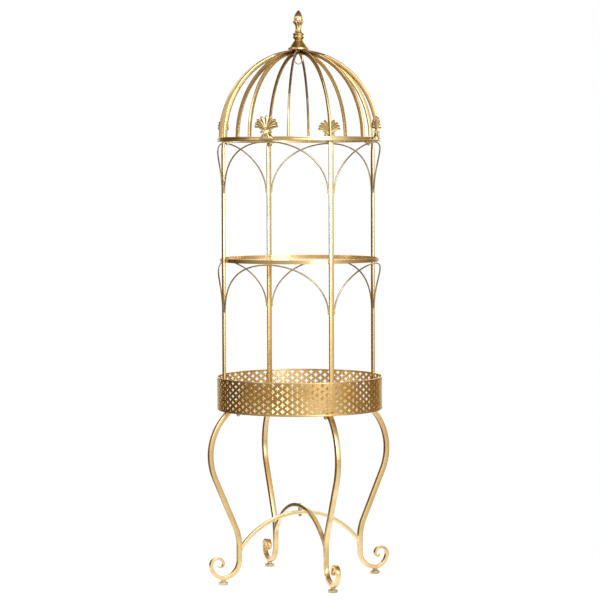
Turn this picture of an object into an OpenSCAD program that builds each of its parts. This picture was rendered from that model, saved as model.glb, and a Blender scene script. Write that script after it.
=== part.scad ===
// Dome plant stand. Four scrolled legs and two arched stretchers carry a round pierced tray. Four posts
// rise inside the tray, hold a round shelf and carry a ribbed dome with palmettes and a finial.
// The origin is on the floor under the middle, with +Z up. Legs and posts stand on the diagonals, so
// the wire arches and the palmettes face along X and Y.

/* [Heights] */
// Height of the tray's underside above the floor
tray_z = 455; // [445:1:490]
// Height of the tray's band and its rim bead together
tray_h = 84; // [60:1:110]
// Height of the shelf ring's top above the floor
shelf_z = 850; // [800:1:900]
// Height of the dome ring's underside above the floor
dome_z = 1153; // [1110:1:1200]

/* [Posts] */
// Radius of the circle through the middle of the posts
post_circle_r = 212; // [200:1:225]
// Width of a post's flat bar, along the circle
post_w = 12; // [10:0.5:16]
// Thickness of a post's flat bar
post_t = 6.5; // [5:0.5:9]
// Thickness of the tab that is turned inward at each end of a post
tab_t = 3; // [2:0.5:4]
// Distance from the post circle in to the tray bolts
tray_bolt_inset = 39; // [34:1:46]
// Distance from the post circle in to the dome ring's studs
ring_stud_inset = 12; // [11:0.5:15]
// Length of a tab beyond the middle of its bolt
tab_end = 9; // [7:0.5:12]

/* [Legs] */
// Side of the square leg bar
leg_bar = 12.5; // [10:0.5:15]
// How far the bulge's middle line stands outside the post circle
bulge_reach = 39; // [34:1:44]
// How far the leg's top stands inside the post circle
leg_top_inset = 12.4; // [9:0.1:16]
// Radius of the bulge's arc
bulge_arc_r = 150; // [140:1:170]
// How far the pinch's middle line stands inside the post circle
pinch_inset = 39.4; // [34:0.1:44]
// Height of the pinch above the floor
pinch_z = 98; // [85:1:105]
// Radius of the pinch's arc
pinch_arc_r = 131; // [110:1:145]
// Radius of the foot scroll's first quarter turn
scroll_r = 44.5; // [40:0.5:50]
// Thickness of the bar at the scroll's inner end
scroll_tip = 3; // [2:0.5:6]
// Thickness of the plate on top of each leg
leg_plate_t = 4; // [3:0.5:6]
// Width of the plate on top of each leg
leg_plate_w = 24; // [20:1:30]
// Length of that plate beyond the tray bolt
leg_plate_end = 13; // [10:1:18]

/* [Foot glides] */
// Diameter of the pad
pad_d = 25; // [20:1:32]
// Height of the pad
pad_h = 8; // [6:0.5:10]
// Diameter of the hexagonal neck over its corners
neck_d = 14; // [10:0.5:16]
// Height of the neck
neck_h = 4.2; // [3:0.1:6]
// Length of the stud above the neck
stud_len = 9.8; // [7:0.1:10.5]

/* [Stretchers] */
// Side of the square stretcher bar
stretcher_bar = 10; // [8:0.5:12]
// Radius of the stretchers' arcs
stretcher_arc_r = 207.6; // [200:0.2:230]
// Height of the lower stretcher's middle line at its top
stretcher_top_z = 177.6; // [165:0.2:190]
// Length of the spacer between the two stretchers
spacer_len = 8.4; // [6:0.2:14]
// Diameter of that spacer
spacer_d = 9.5; // [8:0.5:12]

/* [Tray] */
// Thickness of the tray's band
band_t = 1.2; // [1:0.1:2]
// Thickness of the tray's floor
floor_t = 2; // [1.5:0.5:4]
// Radius of the wire of the rim bead
rim_wire_r = 1.35; // [1:0.05:2]
// Number of columns of stars around the band
star_columns = 106; // [90:2:110]
// Width of a star
star_w = 12.2; // [8:0.1:12.4]
// Height of a star
star_h = 12.5; // [8:0.1:13]
// Half width of a star's waist
star_waist = 2.6; // [1.5:0.1:2.8]
// Distance from one star down to the next in its column
star_pitch = 16.6; // [15.6:0.1:20]
// Plain edge kept at the bottom of the band
edge_low = 2.5; // [1:0.1:4]
// Plain edge kept at the top of the band
edge_high = 0.8; // [0.5:0.1:3]

/* [Shelf] */
// Height of the shelf ring
shelf_ring_h = 10; // [10:0.5:16]
// Thickness of the shelf ring
shelf_ring_t = 3.5; // [2:0.5:5]
// Thickness of the sheet in the shelf ring
shelf_sheet_t = 1.5; // [1:0.1:2]
// How far the sheet lies above the ring's lower edge
shelf_sheet_lift = 0.3; // [0.2:0.1:0.5]

/* [Arches] */
// Radius of the arches' wire
wire_r = 2; // [1.5:0.1:3]
// Rise of the arches under the dome ring
upper_rise = 132; // [100:1:160]
// Rise of the arches under the shelf
lower_rise = 127; // [100:1:160]

/* [Dome] */
// How far the dome ring's outside stands outside the post circle
ring_overhang = 2.5; // [2:0.1:6]
// Height of the dome ring
ring_h = 11; // [10:0.5:16]
// Thickness of the dome ring's upright wall
ring_wall_t = 2; // [1.5:0.1:3]
// Width of the dome ring's flange
ring_flange_w = 20.5; // [19:0.5:26]
// Thickness of the dome ring's flange
ring_flange_t = 3; // [2:0.5:4]
// Number of ribs
rib_count = 12; // [4:4:16]
// Thickness of a rib, along the circle
rib_t = 6; // [2:0.1:7]
// Depth of a rib, across the dome's surface
rib_depth = 12; // [10:0.5:18]
// Height of a rib's straight foot
rib_foot_h = 9; // [4:0.5:20]
// Rise of the dome above the ribs' feet
dome_rise = 228; // [190:1:260]
// Radius at which the ribs end under the crown
rib_end_r = 14; // [13:0.5:20]

/* [Palmettes] */
// Thickness of a palmette's leaves and volutes
palmette_t = 4; // [3:0.5:5]
// Thickness of the mound that a palmette grows from
mound_t = 6; // [5:0.5:9]
// Half width of that mound at its foot
mound_half_w = 20; // [16:0.5:22]
// Height of that mound
mound_h = 15.5; // [12:0.5:18]
// Length of the middle leaf
leaf_len = 40; // [34:1:48]
// Radius of a leaf's round end
leaf_tip_r = 4.4; // [3:0.1:5]
// Half width of a leaf at its root
leaf_root = 1.8; // [1:0.1:2.5]
// Radius of a volute
volute_r = 5; // [4.5:0.1:6]
// Radius of the eye in a volute
volute_eye_r = 1.8; // [1:0.1:2.5]

/* [Crown] */
// Radius of the crown plate
crown_r = 28.5; // [22:0.5:34]
// Thickness of the crown plate
crown_t = 3; // [2:0.5:4]
// Radius of the cone's foot
cap_r = 27; // [20:0.5:30]
// Radius of the cone's flat top
cap_top_r = 10; // [9:0.5:13]
// Height of the cone
cap_h = 21.5; // [14:0.5:30]
// Wall of the cone
cap_wall = 2; // [1:0.1:3]
// Height of the finial
finial_h = 78.5; // [60:0.5:100]
// Number of leaves round the finial
leaf_count = 8; // [5:1:12]

/* [Hanging ring] */
// Diameter of the ring's wire
link_wire_d = 2.5; // [1.5:0.1:2.9]
// Width of the ring over its wire
link_w = 24; // [18:0.5:25]
// Height of the ring over its wire
link_h = 31.4; // [26:0.2:33]
// Radius of the eye, to the middle of its wire
eye_r = 3.2; // [2.8:0.1:4]
// Radius of the eye's wire
eye_wire_r = 1.1; // [0.8:0.1:1.2]
// Height of the eye bolt's shoulder
shoulder_h = 4; // [3:0.5:6]
// Diameter of the eye bolt's shoulder
shoulder_d = 11; // [8:0.5:14]

/* [Fasteners] */
// Diameter of the tray bolts and the glides' studs
bolt_d = 6; // [5:0.5:6.5]
// Diameter of the stretcher bolt, the dome ring's studs and the eye bolt
small_bolt_d = 5; // [4:0.5:6]
// Diameter of the shelf's and the palmettes' screws
screw_d = 3.4; // [3:0.1:4]
// Clearance of a bolt or stud in its hole, at the radius
bolt_fit = 0.05; // [0.02:0.01:0.1]
// Gap left between pieces that are welded or pressed together
weld_gap = 0.2; // [0.1:0.05:0.3]
// Gap left between pieces that stand side by side
side_gap = 0.3; // [0.2:0.05:0.5]

/* [Hidden] */
$fn = 96;

// Finish, as the photo shows it
gold = "#dcbb7c";
deep_gold = "#b98d4a";
pale_gold = "#ecd6a0";
plain_steel = "#8d8470";

// Directions of the corners and the sides, counted anticlockwise from +X
CORNERS = ["back_right", "back_left", "front_left", "front_right"];
SIDES = ["right", "back", "left", "front"];
corner_turn = 45;
quarter = 90;

// Smallest steps of the drawn curves, in degrees
arc_step = 4;
coil_step = 8;

// Tray
tray_top = tray_z + tray_h;
post_in_r = post_circle_r - post_t / 2;
post_out_r = post_circle_r + post_t / 2;
post_corner_r = norm([post_out_r, post_w / 2]);
post_foot_z = tray_z + floor_t;
band_r = post_corner_r + side_gap;
band_h = tray_h - 2 * rim_wire_r;
tray_bolt_r = post_circle_r - tray_bolt_inset;
first_star = 7.75;

// Tray bolts, with a cap nut under each
head_af = 10;
head_h = 4;
cap_nut_h = 12.5;
cap_nut_hex_h = 5;
cap_nut_wall = 2.5;
hex_corner = 1 / cos(30);
small_nut_af = 8;
bolt_end = 2;

// Legs: bulge, pinch, straight and scroll, drawn in the plane of radius and height
leg_top_z = tray_z - leg_plate_t;
leg_under_z = pad_h + neck_h + side_gap;
leg_top_r = post_circle_r - leg_top_inset;
leg_top_a = acos(1 - (bulge_reach + leg_top_inset) / bulge_arc_r);
bulge_c = [post_circle_r + bulge_reach - bulge_arc_r, leg_top_z - bulge_arc_r * sin(leg_top_a)];

// The two arcs of a leg meet in a straight stretch, so their radii can't add up to more than its sway allows
leg_sway = bulge_reach + pinch_inset;
arc_room = (pow(leg_sway, 2) + pow(bulge_c[1] - pinch_z, 2)) / (2 * leg_sway);
least_straight = 0.03;
pinch_r = min(pinch_arc_r, (1 - least_straight) * arc_room - bulge_arc_r);
pinch_c = [post_circle_r - pinch_inset + pinch_r, pinch_z];
between = pinch_c - bulge_c;
slope = asin((bulge_arc_r + pinch_r) / norm(between)) - atan2(between[0], -between[1]);
over_run = 6;
coil_radii = [scroll_r, 34, 18, 16, 8, 6];
coil_angles = [180, 270, 360, 450, 540, 630, 690];
coil_first = [post_circle_r - pinch_inset + scroll_r, leg_under_z + bar_at(270) / 2 + scroll_r];
glide_r = coil_first[0];

// Stretchers
upper_stretcher_z = stretcher_top_z + stretcher_bar + spacer_len;
stretcher_head_h = 1.8;
stretcher_head_r = 4;
stretcher_nut_h = 4;

// Shelf
shelf_r = post_in_r - side_gap;
shelf_bar_z = shelf_z - shelf_ring_h;
screw_head_r = 2.9;
screw_head_h = 2.2;
shelf_head_gap = 1.2;
shelf_screw_z = shelf_bar_z + shelf_sheet_lift + shelf_sheet_t + shelf_head_gap + screw_head_r;
post_screw_depth = 4;

// Arches
arch_end_a = corner_turn - asin((post_w / 2 + wire_r + weld_gap) / post_circle_r);
upper_arch_z = dome_z - wire_r - weld_gap;
lower_arch_z = shelf_bar_z - wire_r - weld_gap;
arch_steps = 28;
wire_sides = 8;

// Dome ring and ribs
ring_r = post_circle_r + ring_overhang;
ring_stud_r = post_circle_r - ring_stud_inset;
ring_nut_h = 4.5;
rib_z = dome_z + ring_flange_t;
rib_r = ring_r - ring_wall_t - side_gap;
ellipse_z = rib_z + rib_foot_h;
palmette_screw_z = rib_z + screw_head_r + 1.3;
palmette_screw_depth = 2;

// Crown, eye bolt and hanging ring
crown_z = ellipse_z + dome_rise;
cap_z = crown_z + crown_t;
finial_z = cap_z + cap_h;
eye_shank_top = finial_z + 22;
finial_bore = 24;
shoulder_z = crown_z - shoulder_h;
eye_sink = 0.6;
eye_z = shoulder_z + eye_sink - eye_r - eye_wire_r;
link_rest = 0.05;
link_top_z = eye_z - eye_r + eye_wire_r + link_rest + link_wire_d / 2;
link_bend_r = (link_w - link_wire_d) / 2;
link_straight = link_h - link_w;

// The finial's outline as radius and share of its height: collar, neck, curled leaves, bud and tip
finial_outline = [
    [9.4, 0], [14.7, 0.095], [13.4, 0.153], [14.7, 0.21], [9, 0.274], [8.85, 0.3], [7.65, 0.363],
    [9.45, 0.49], [14.3, 0.592], [12.9, 0.656], [11.7, 0.77], [6.6, 0.91], [0, 1]
];

// Gaps between the finial's curled leaves, and the slanting gaps between the bud's leaves above them
curled_gap_r = 15.6;
curled_gap_z = 0.5;
curled_gap_h = 12;
curled_gap_d = 4.4;
bud_gap_r = 13.6;
bud_gap_z = 0.73;
bud_gap_h = 16;
bud_gap_d = 3.4;
bud_gap_lean = 14;

// Palmette: leaves as angle from the middle and share of the middle leaf's length
leaf_fan = [
    [0, 1], [22.5, 1], [-22.5, 1], [42, 0.94], [-42, 0.94],
    [56, 0.86], [-56, 0.86], [69, 0.77], [-69, 0.77]
];
palmette_lift = 4;
fan_root_y = 20;
volute_x = 11.7;
volute_y = 18;

function rib_name(i) = str("dome_rib_", i < 10 ? "0" : "", i);
function dir(a) = [cos(a), sin(a)];
function unit(v) = v / norm(v);

// Thickness of the leg bar at an angle of the scroll
function bar_at(b) = leg_bar
    + (scroll_tip - leg_bar) * (b - coil_angles[0]) / (coil_angles[6] - coil_angles[0]);

// Centre of the scroll's arc k: each arc starts where the last one ends, in the same direction
function coil_centre(k) = k == 0
    ? coil_first
    : coil_centre(k - 1) + (coil_radii[k - 1] - coil_radii[k]) * dir(coil_angles[k]);

// The leg's middle line, from the top down, as [point, outward normal, half thickness]
function arc_sites(centre, r, from, to, side, first = 0) = let(n = ceil(abs(to - from) / arc_step)) [
    for (i = [first:n]) let(a = from + (to - from) * i / n)
        [centre + r * dir(a), side * dir(a), leg_bar / 2]
];
function coil_sites(k) = let(
    from = coil_angles[k],
    to = coil_angles[k + 1],
    n = ceil((to - from) / coil_step)
) [
    for (i = [k == 0 ? 0 : 1:n]) let(b = from + (to - from) * i / n)
        [coil_centre(k) + coil_radii[k] * dir(b), -dir(b), bar_at(b) / 2]
];
function leg_sites() = concat(
    arc_sites(bulge_c, bulge_arc_r, leg_top_a + over_run, -slope, 1),
    arc_sites(pinch_c, pinch_r, 180 - slope, 180, -1, 1),
    [for (k = [0:5]) each coil_sites(k)]
);

// Radius of the leg's middle line at a height near the pinch
function leg_r_at(z) = pinch_c[0] - sqrt(pow(pinch_r, 2) - pow(max(0, z - pinch_z), 2));

module at_corners() {
    for (k = [0:3]) rotate(corner_turn + quarter * k) children();
}

module at_sides() {
    for (k = [0:3]) rotate(quarter * k) children();
}

// A round bar or hole that points up, at a radius on the X axis
module peg(r_place, z, h, d) {
    translate([r_place, 0, z]) cylinder(h = h, d = d);
}

// A round bar or hole along the X axis
module radial_peg(r_place, z, h, d) {
    translate([r_place, 0, z]) rotate([0, 90, 0]) cylinder(h = h, d = d);
}

// A hexagonal prism across its flats
module hexagon(r_place, z, h, af) {
    translate([r_place, 0, z]) cylinder(h = h, d = af * hex_corner, $fn = 6);
}

module tube(r_out, r_in, h) {
    linear_extrude(h) difference() {
        circle(r_out);
        circle(r_in);
    }
}

// The leg seen from its side, optionally grown to leave a gap round it
module leg_outline(grow = 0) {
    sites = leg_sites();
    count = len(sites);
    intersection() {
        polygon(concat(
            [for (s = sites) s[0] + (s[2] + grow) * s[1]],
            [for (i = [1:count]) let(s = sites[count - i]) s[0] - (s[2] + grow) * s[1]]
        ));
        square([2 * (post_circle_r + bulge_reach), leg_top_z]);
    }
}

module leg(k) {
    color(gold) rotate(corner_turn + quarter * k) difference() {
        rotate([90, 0, 0]) linear_extrude(leg_bar, center = true) leg_outline();
        peg(glide_r, leg_under_z - 1, bar_at(270) + 2, bolt_d + 2 * bolt_fit);
    }
}

module leg_plates() {
    rim = 2;
    inner = tray_bolt_r - leg_plate_end;
    length = leg_top_r + leg_bar / 2 / cos(leg_top_a) + rim - inner;
    color(deep_gold) at_corners() difference() {
        translate([inner, -leg_plate_w / 2, leg_top_z]) cube([length, leg_plate_w, leg_plate_t]);
        peg(tray_bolt_r, leg_top_z - 1, leg_plate_t + 2, bolt_d + 2 * bolt_fit);
    }
}

module foot_glide(k) {
    edge = 1;
    color(deep_gold) rotate(corner_turn + quarter * k) {
        peg(glide_r, 0, pad_h - edge, pad_d);
        translate([glide_r, 0, pad_h - edge])
            cylinder(h = edge, d1 = pad_d, d2 = pad_d - 2 * edge);
        translate([glide_r, 0, pad_h]) cylinder(h = neck_h, d = neck_d, $fn = 6);
        peg(glide_r, pad_h, neck_h + stud_len, bolt_d);
    }
}

module stretcher(top_z, turn) {
    centre_z = top_z - stretcher_arc_r;
    inner_r = post_circle_r - pinch_inset;
    end_z = centre_z + sqrt(pow(stretcher_arc_r, 2) - pow(inner_r, 2));
    reach = leg_r_at(end_z);
    half = stretcher_bar / 2;
    color(deep_gold) rotate(turn) difference() {
        rotate([90, 0, 0]) linear_extrude(stretcher_bar, center = true) difference() {
            intersection() {
                translate([0, centre_z]) difference() {
                    circle(stretcher_arc_r + half);
                    circle(stretcher_arc_r - half);
                }
                translate([-reach, end_z - 2 * stretcher_bar]) square([2 * reach, stretcher_arc_r]);
            }
            leg_outline(weld_gap);
            mirror([1, 0]) leg_outline(weld_gap);
        }
        peg(0, top_z - stretcher_bar, 2 * stretcher_bar, small_bolt_d + 2 * bolt_fit);
    }
}

module stretcher_bolt() {
    seat_z = upper_stretcher_z + stretcher_bar / 2;
    low_z = stretcher_top_z - stretcher_bar / 2 - stretcher_nut_h - bolt_end;
    color(pale_gold) {
        peg(0, low_z, seat_z - low_z, small_bolt_d);
        translate([0, 0, seat_z])
            cylinder(h = stretcher_head_h, r1 = stretcher_head_r, r2 = stretcher_head_r - 1);
    }
}

module stretcher_spacer() {
    color(pale_gold) translate([0, 0, stretcher_top_z + stretcher_bar / 2])
        tube(spacer_d / 2, small_bolt_d / 2 + bolt_fit, spacer_len - weld_gap);
}

module stretcher_nut() {
    top_z = stretcher_top_z - stretcher_bar / 2 - weld_gap;
    color(plain_steel) difference() {
        hexagon(0, top_z - stretcher_nut_h, stretcher_nut_h, small_nut_af);
        peg(0, top_z - stretcher_nut_h - 1, stretcher_nut_h + 2, small_bolt_d + 2 * bolt_fit);
    }
}

module tray_floor() {
    color(deep_gold) difference() {
        translate([0, 0, tray_z]) cylinder(h = floor_t, r = band_r - weld_gap);
        at_corners() peg(tray_bolt_r, tray_z - 1, floor_t + 2, bolt_d + 2 * bolt_fit);
    }
}

// A four-pointed star at height z above the tray's underside, cut off at the band's plain edges
module star(z) {
    intersection() {
        translate([0, z]) polygon([
            [star_w / 2, 0], [star_waist, star_waist], [0, star_h / 2], [-star_waist, star_waist],
            [-star_w / 2, 0], [-star_waist, -star_waist], [0, -star_h / 2], [star_waist, -star_waist]
        ]);
        translate([-star_w, edge_low]) square([2 * star_w, band_h - edge_low - edge_high]);
    }
}

// A polygon with one side for each column of stars, standing outside a circle
module facets(r) {
    half = 180 / star_columns;
    polygon([for (i = [0:star_columns - 1]) r / cos(half) * dir(half + 2 * half * i)]);
}

// The band is a strip punched flat and bent a little between the columns of stars
module tray_band() {
    rows = floor((tray_h - first_star - star_pitch / 2) / star_pitch);
    color(gold) translate([0, 0, tray_z]) difference() {
        linear_extrude(band_h) difference() {
            facets(band_r + band_t);
            facets(band_r);
        }
        for (column = [0:star_columns - 1], row = [0:rows])
            rotate(360 / star_columns * column) translate([band_r - 1, 0, 0])
                rotate([90, 0, 90]) linear_extrude(band_t + 2)
                    star(tray_h - first_star - star_pitch * (row + 0.5 * (column % 2)));
    }
}

module tray_rim() {
    color(pale_gold) translate([0, 0, tray_top - rim_wire_r])
        rotate_extrude() translate([band_r + rim_wire_r, 0]) circle(rim_wire_r);
}

module tray_bolts() {
    seat_z = post_foot_z + tab_t;
    low_z = leg_top_z - cap_nut_h + cap_nut_wall + 1;
    color(plain_steel) at_corners() {
        hexagon(tray_bolt_r, seat_z, head_h, head_af);
        peg(tray_bolt_r, low_z, seat_z - low_z, bolt_d);
    }
}

module tray_cap_nuts() {
    dome_h = cap_nut_h - cap_nut_hex_h;
    dome_r = head_af / 2;
    color(pale_gold) at_corners() difference() {
        union() {
            hexagon(tray_bolt_r, leg_top_z - cap_nut_hex_h, cap_nut_hex_h, head_af);
            peg(tray_bolt_r, leg_top_z - cap_nut_h + dome_r, dome_h - dome_r + 1, head_af);
            translate([tray_bolt_r, 0, leg_top_z - cap_nut_h + dome_r]) sphere(dome_r);
        }
        peg(tray_bolt_r, leg_top_z - cap_nut_h + cap_nut_wall, cap_nut_h, bolt_d + 2 * bolt_fit);
    }
}

module post(k) {
    foot_in = tray_bolt_r - tab_end;
    head_in = ring_stud_r - tab_end;
    half = post_w / 2;
    color(gold) rotate(corner_turn + quarter * k) difference() {
        union() {
            translate([post_in_r, -half, post_foot_z]) cube([post_t, post_w, dome_z - post_foot_z]);
            translate([foot_in, -half, post_foot_z]) cube([post_circle_r - foot_in, post_w, tab_t]);
            translate([head_in, -half, dome_z - tab_t]) cube([post_circle_r - head_in, post_w, tab_t]);
        }
        peg(tray_bolt_r, post_foot_z - 1, tab_t + 2, bolt_d + 2 * bolt_fit);
        peg(ring_stud_r, dome_z - tab_t - 1, tab_t + 2, small_bolt_d + 2 * bolt_fit);
        radial_peg(post_in_r - 1, shelf_screw_z, post_screw_depth + 1.5, screw_d + 2 * bolt_fit);
    }
}

module shelf_ring() {
    color(gold) difference() {
        translate([0, 0, shelf_bar_z]) tube(shelf_r, shelf_r - shelf_ring_t, shelf_ring_h);
        at_corners()
            radial_peg(shelf_r - shelf_ring_t - 1, shelf_screw_z, shelf_ring_t + 2, screw_d + 2 * bolt_fit);
    }
}

module shelf_sheet() {
    color(pale_gold) translate([0, 0, shelf_bar_z + shelf_sheet_lift])
        cylinder(h = shelf_sheet_t, r = shelf_r - shelf_ring_t - weld_gap);
}

// Pan-head screws that point outward from the inside of a ring wall
module wall_screws(wall_r, z, reach) {
    radial_peg(wall_r - weld_gap - screw_head_h, z, screw_head_h, 2 * screw_head_r);
    radial_peg(wall_r - weld_gap - 1, z, reach + weld_gap + 1, screw_d);
}

module shelf_screws() {
    color(plain_steel) at_corners()
        wall_screws(shelf_r - shelf_ring_t, shelf_screw_z, shelf_ring_t + side_gap + post_screw_depth);
}

// A wire arch on the post circle between two posts, highest at apex_z
module arch(k, apex_z, rise) {
    rings = [
        for (i = [0:arch_steps]) let(
            u = -90 + 180 * i / arch_steps,
            a = arch_end_a * sin(u),
            place = [post_circle_r * cos(a), post_circle_r * sin(a), apex_z - rise + rise * cos(u)],
            swing = arch_end_a * PI / 180 * cos(u) * post_circle_r,
            along = unit([-sin(a) * swing, cos(a) * swing, -rise * sin(u)]),
            out = [cos(a), sin(a), 0],
            across = cross(along, out)
        ) [
            for (j = [0:wire_sides - 1]) let(v = 360 / wire_sides * j)
                place + wire_r * (cos(v) * out + sin(v) * across)
        ]
    ];
    color(gold) rotate(quarter * k) polyhedron(
        points = [for (ring = rings) each ring],
        faces = concat(
            [[for (j = [0:wire_sides - 1]) j]],
            [[for (j = [0:wire_sides - 1]) arch_steps * wire_sides + wire_sides - 1 - j]],
            [for (i = [0:arch_steps - 1], j = [0:wire_sides - 1]) let(
                n = (j + 1) % wire_sides,
                low = i * wire_sides,
                high = low + wire_sides
            ) [low + n, low + j, high + j, high + n]]
        ),
        convexity = 4
    );
}

module dome_ring() {
    inner = ring_r - ring_flange_w;
    wall = ring_r - ring_wall_t;
    color(gold) difference() {
        translate([0, 0, dome_z]) union() {
            tube(ring_r, inner, ring_flange_t);
            tube(ring_r, wall, ring_h);
        }
        at_corners() peg(ring_stud_r, dome_z - 1, ring_flange_t + 2, small_bolt_d + 2 * bolt_fit);
        at_sides() radial_peg(wall - 1, palmette_screw_z, ring_wall_t + 2, screw_d + 2 * bolt_fit);
    }
}

module dome_studs() {
    low_z = dome_z - tab_t - ring_nut_h - bolt_end;
    color(plain_steel) at_corners() peg(ring_stud_r, low_z, rib_z - side_gap - low_z, small_bolt_d);
}

module dome_nuts() {
    low_z = dome_z - tab_t - ring_nut_h;
    color(pale_gold) at_corners() difference() {
        hexagon(ring_stud_r, low_z, ring_nut_h, small_nut_af);
        peg(ring_stud_r, low_z - 1, ring_nut_h + 2, small_bolt_d + 2 * bolt_fit);
    }
}

// Point on the dome's ellipse at angle u, moved inward across the ellipse by depth
function rib_point(u, depth) = [rib_r * cos(u), ellipse_z + dome_rise * sin(u)]
    - depth * unit([dome_rise * cos(u), rib_r * sin(u)]);

module dome_rib(i) {
    steps = 24;
    last_a = 88;
    color(gold) rotate(corner_turn + 360 / rib_count * (i - 1)) rotate([90, 0, 0])
        linear_extrude(rib_t, center = true) intersection() {
            polygon(concat(
                [[rib_r - rib_depth, rib_z], [rib_r, rib_z]],
                [for (j = [0:steps]) rib_point(last_a * j / steps, 0)],
                [for (j = [0:steps]) rib_point(last_a * (1 - j / steps), rib_depth)]
            ));
            translate([rib_end_r, rib_z]) square([rib_r, crown_z - weld_gap - rib_z]);
        }
}

// One leaf of a palmette, up from the fan's root
module palmette_leaf(angle, length) {
    tip = length - leaf_tip_r;
    rotate(-angle) {
        translate([0, tip]) circle(leaf_tip_r);
        polygon([[-leaf_root, 0], [leaf_root, 0], [leaf_tip_r, tip], [-leaf_tip_r, tip]]);
    }
}

module palmette(k) {
    stem_w = 2 * volute_x - volute_r;
    back_r = ring_r + weld_gap;
    stem_low = 2;
    color(pale_gold) rotate(quarter * k) difference() {
        translate([back_r, 0, dome_z + palmette_lift]) rotate([90, 0, 90]) {
            linear_extrude(palmette_t) {
                for (leaf = leaf_fan) translate([0, fan_root_y]) palmette_leaf(leaf[0], leaf_len * leaf[1]);
                for (side = [-1, 1]) translate([side * volute_x, volute_y]) difference() {
                    circle(volute_r);
                    circle(volute_eye_r);
                }
                translate([-stem_w / 2, stem_low]) square([stem_w, fan_root_y]);
            }
            linear_extrude(mound_t) intersection() {
                scale([mound_half_w, mound_h]) circle(1);
                translate([-mound_half_w, 0]) square([2 * mound_half_w, mound_h]);
            }
        }
        radial_peg(back_r - 1, palmette_screw_z, palmette_screw_depth + 1.5, screw_d + 2 * bolt_fit);
    }
}

module palmette_screws() {
    color(plain_steel) at_sides()
        wall_screws(ring_r - ring_wall_t, palmette_screw_z, ring_wall_t + weld_gap + palmette_screw_depth);
}

module crown_plate() {
    color(gold) translate([0, 0, crown_z]) tube(crown_r, small_bolt_d / 2 + bolt_fit, crown_t);
}

module crown_cap() {
    bore_r = small_bolt_d / 2 + bolt_fit;
    lean = unit([cap_h, cap_r - cap_top_r]);
    shift = cap_wall / lean[0];
    color(deep_gold) translate([0, 0, cap_z]) rotate_extrude() polygon([
        [bore_r, cap_h], [cap_top_r, cap_h], [cap_r, 0], [cap_r - shift, 0],
        [cap_top_r - shift + cap_wall * lean[1] / lean[0], cap_h - cap_wall], [bore_r, cap_h - cap_wall]
    ]);
}

// Point on a smooth curve through a list of points, at share t of the way from point i to the next
function smooth(p, i, t) = let(
    last = len(p) - 1,
    a = p[max(i - 1, 0)],
    b = p[i],
    c = p[min(i + 1, last)],
    d = p[min(i + 2, last)]
) 0.5 * (2 * b + (c - a) * t + (2 * a - 5 * b + 4 * c - d) * t * t + (3 * b - a - 3 * c + d) * t * t * t);

module finial() {
    parts = 5;
    outline = [for (p = finial_outline) [p[0], p[1] * finial_h]];
    last = len(outline) - 1;
    leaf_turn = 360 / leaf_count;
    color(gold) translate([0, 0, finial_z]) difference() {
        rotate_extrude() polygon(concat(
            [[0, 0]],
            [for (i = [0:last - 1], j = [0:parts - 1]) smooth(outline, i, j / parts)],
            [outline[last]]
        ));
        peg(0, -1, finial_bore + 1, small_bolt_d + 2 * bolt_fit);
        for (j = [1:leaf_count]) {
            rotate(leaf_turn * j) peg(curled_gap_r, finial_h * curled_gap_z, curled_gap_h, curled_gap_d);
            rotate(leaf_turn * (j + 0.5)) translate([bud_gap_r, 0, finial_h * bud_gap_z])
                rotate([0, -bud_gap_lean, 0]) cylinder(h = bud_gap_h, d = bud_gap_d, center = true);
        }
    }
}

module eye_bolt() {
    color(plain_steel) {
        peg(0, shoulder_z, eye_shank_top - shoulder_z, small_bolt_d);
        peg(0, shoulder_z, shoulder_h, shoulder_d);
        translate([0, 0, eye_z]) rotate([0, 90, 0])
            rotate_extrude() translate([eye_r, 0]) circle(eye_wire_r);
    }
}

module hanging_ring() {
    bend_z = link_top_z - link_bend_r;
    color(pale_gold) {
        translate([0, 0, bend_z]) rotate([90, 0, 0])
            rotate_extrude(angle = 180) translate([link_bend_r, 0]) circle(link_wire_d / 2);
        translate([0, 0, bend_z - link_straight]) rotate([-90, 0, 0])
            rotate_extrude(angle = 180) translate([link_bend_r, 0]) circle(link_wire_d / 2);
        for (side = [-1, 1])
            translate([side * link_bend_r, 0, bend_z - link_straight])
                cylinder(h = link_straight, d = link_wire_d);
    }
}

for (k = [0:3]) {
    leg(k);
    foot_glide(k);
    post(k);
    arch(k, upper_arch_z, upper_rise);
    arch(k, lower_arch_z, lower_rise);
    palmette(k);
}
for (i = [1:rib_count]) dome_rib(i);
leg_plates();
stretcher(stretcher_top_z, corner_turn);  // stretcher_lower
stretcher(upper_stretcher_z, corner_turn + quarter);  // stretcher_upper
stretcher_bolt();
stretcher_spacer();
stretcher_nut();
tray_floor();
tray_band();
tray_rim();
tray_bolts();
tray_cap_nuts();
shelf_ring();
shelf_sheet();
shelf_screws();
dome_ring();
dome_studs();
dome_nuts();
palmette_screws();
crown_plate();
crown_cap();
finial();
eye_bolt();
hanging_ring();
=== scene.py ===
# %% [markdown]
# # Dome plant stand
# A tall metal stand in four storeys: scrolled legs, a pierced tray, a shelf, and a ribbed dome.
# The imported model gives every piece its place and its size. This scene keeps the pieces whose shape
# is already right, and draws the rest again with the softer edges and finer forms of real ironwork.

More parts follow.
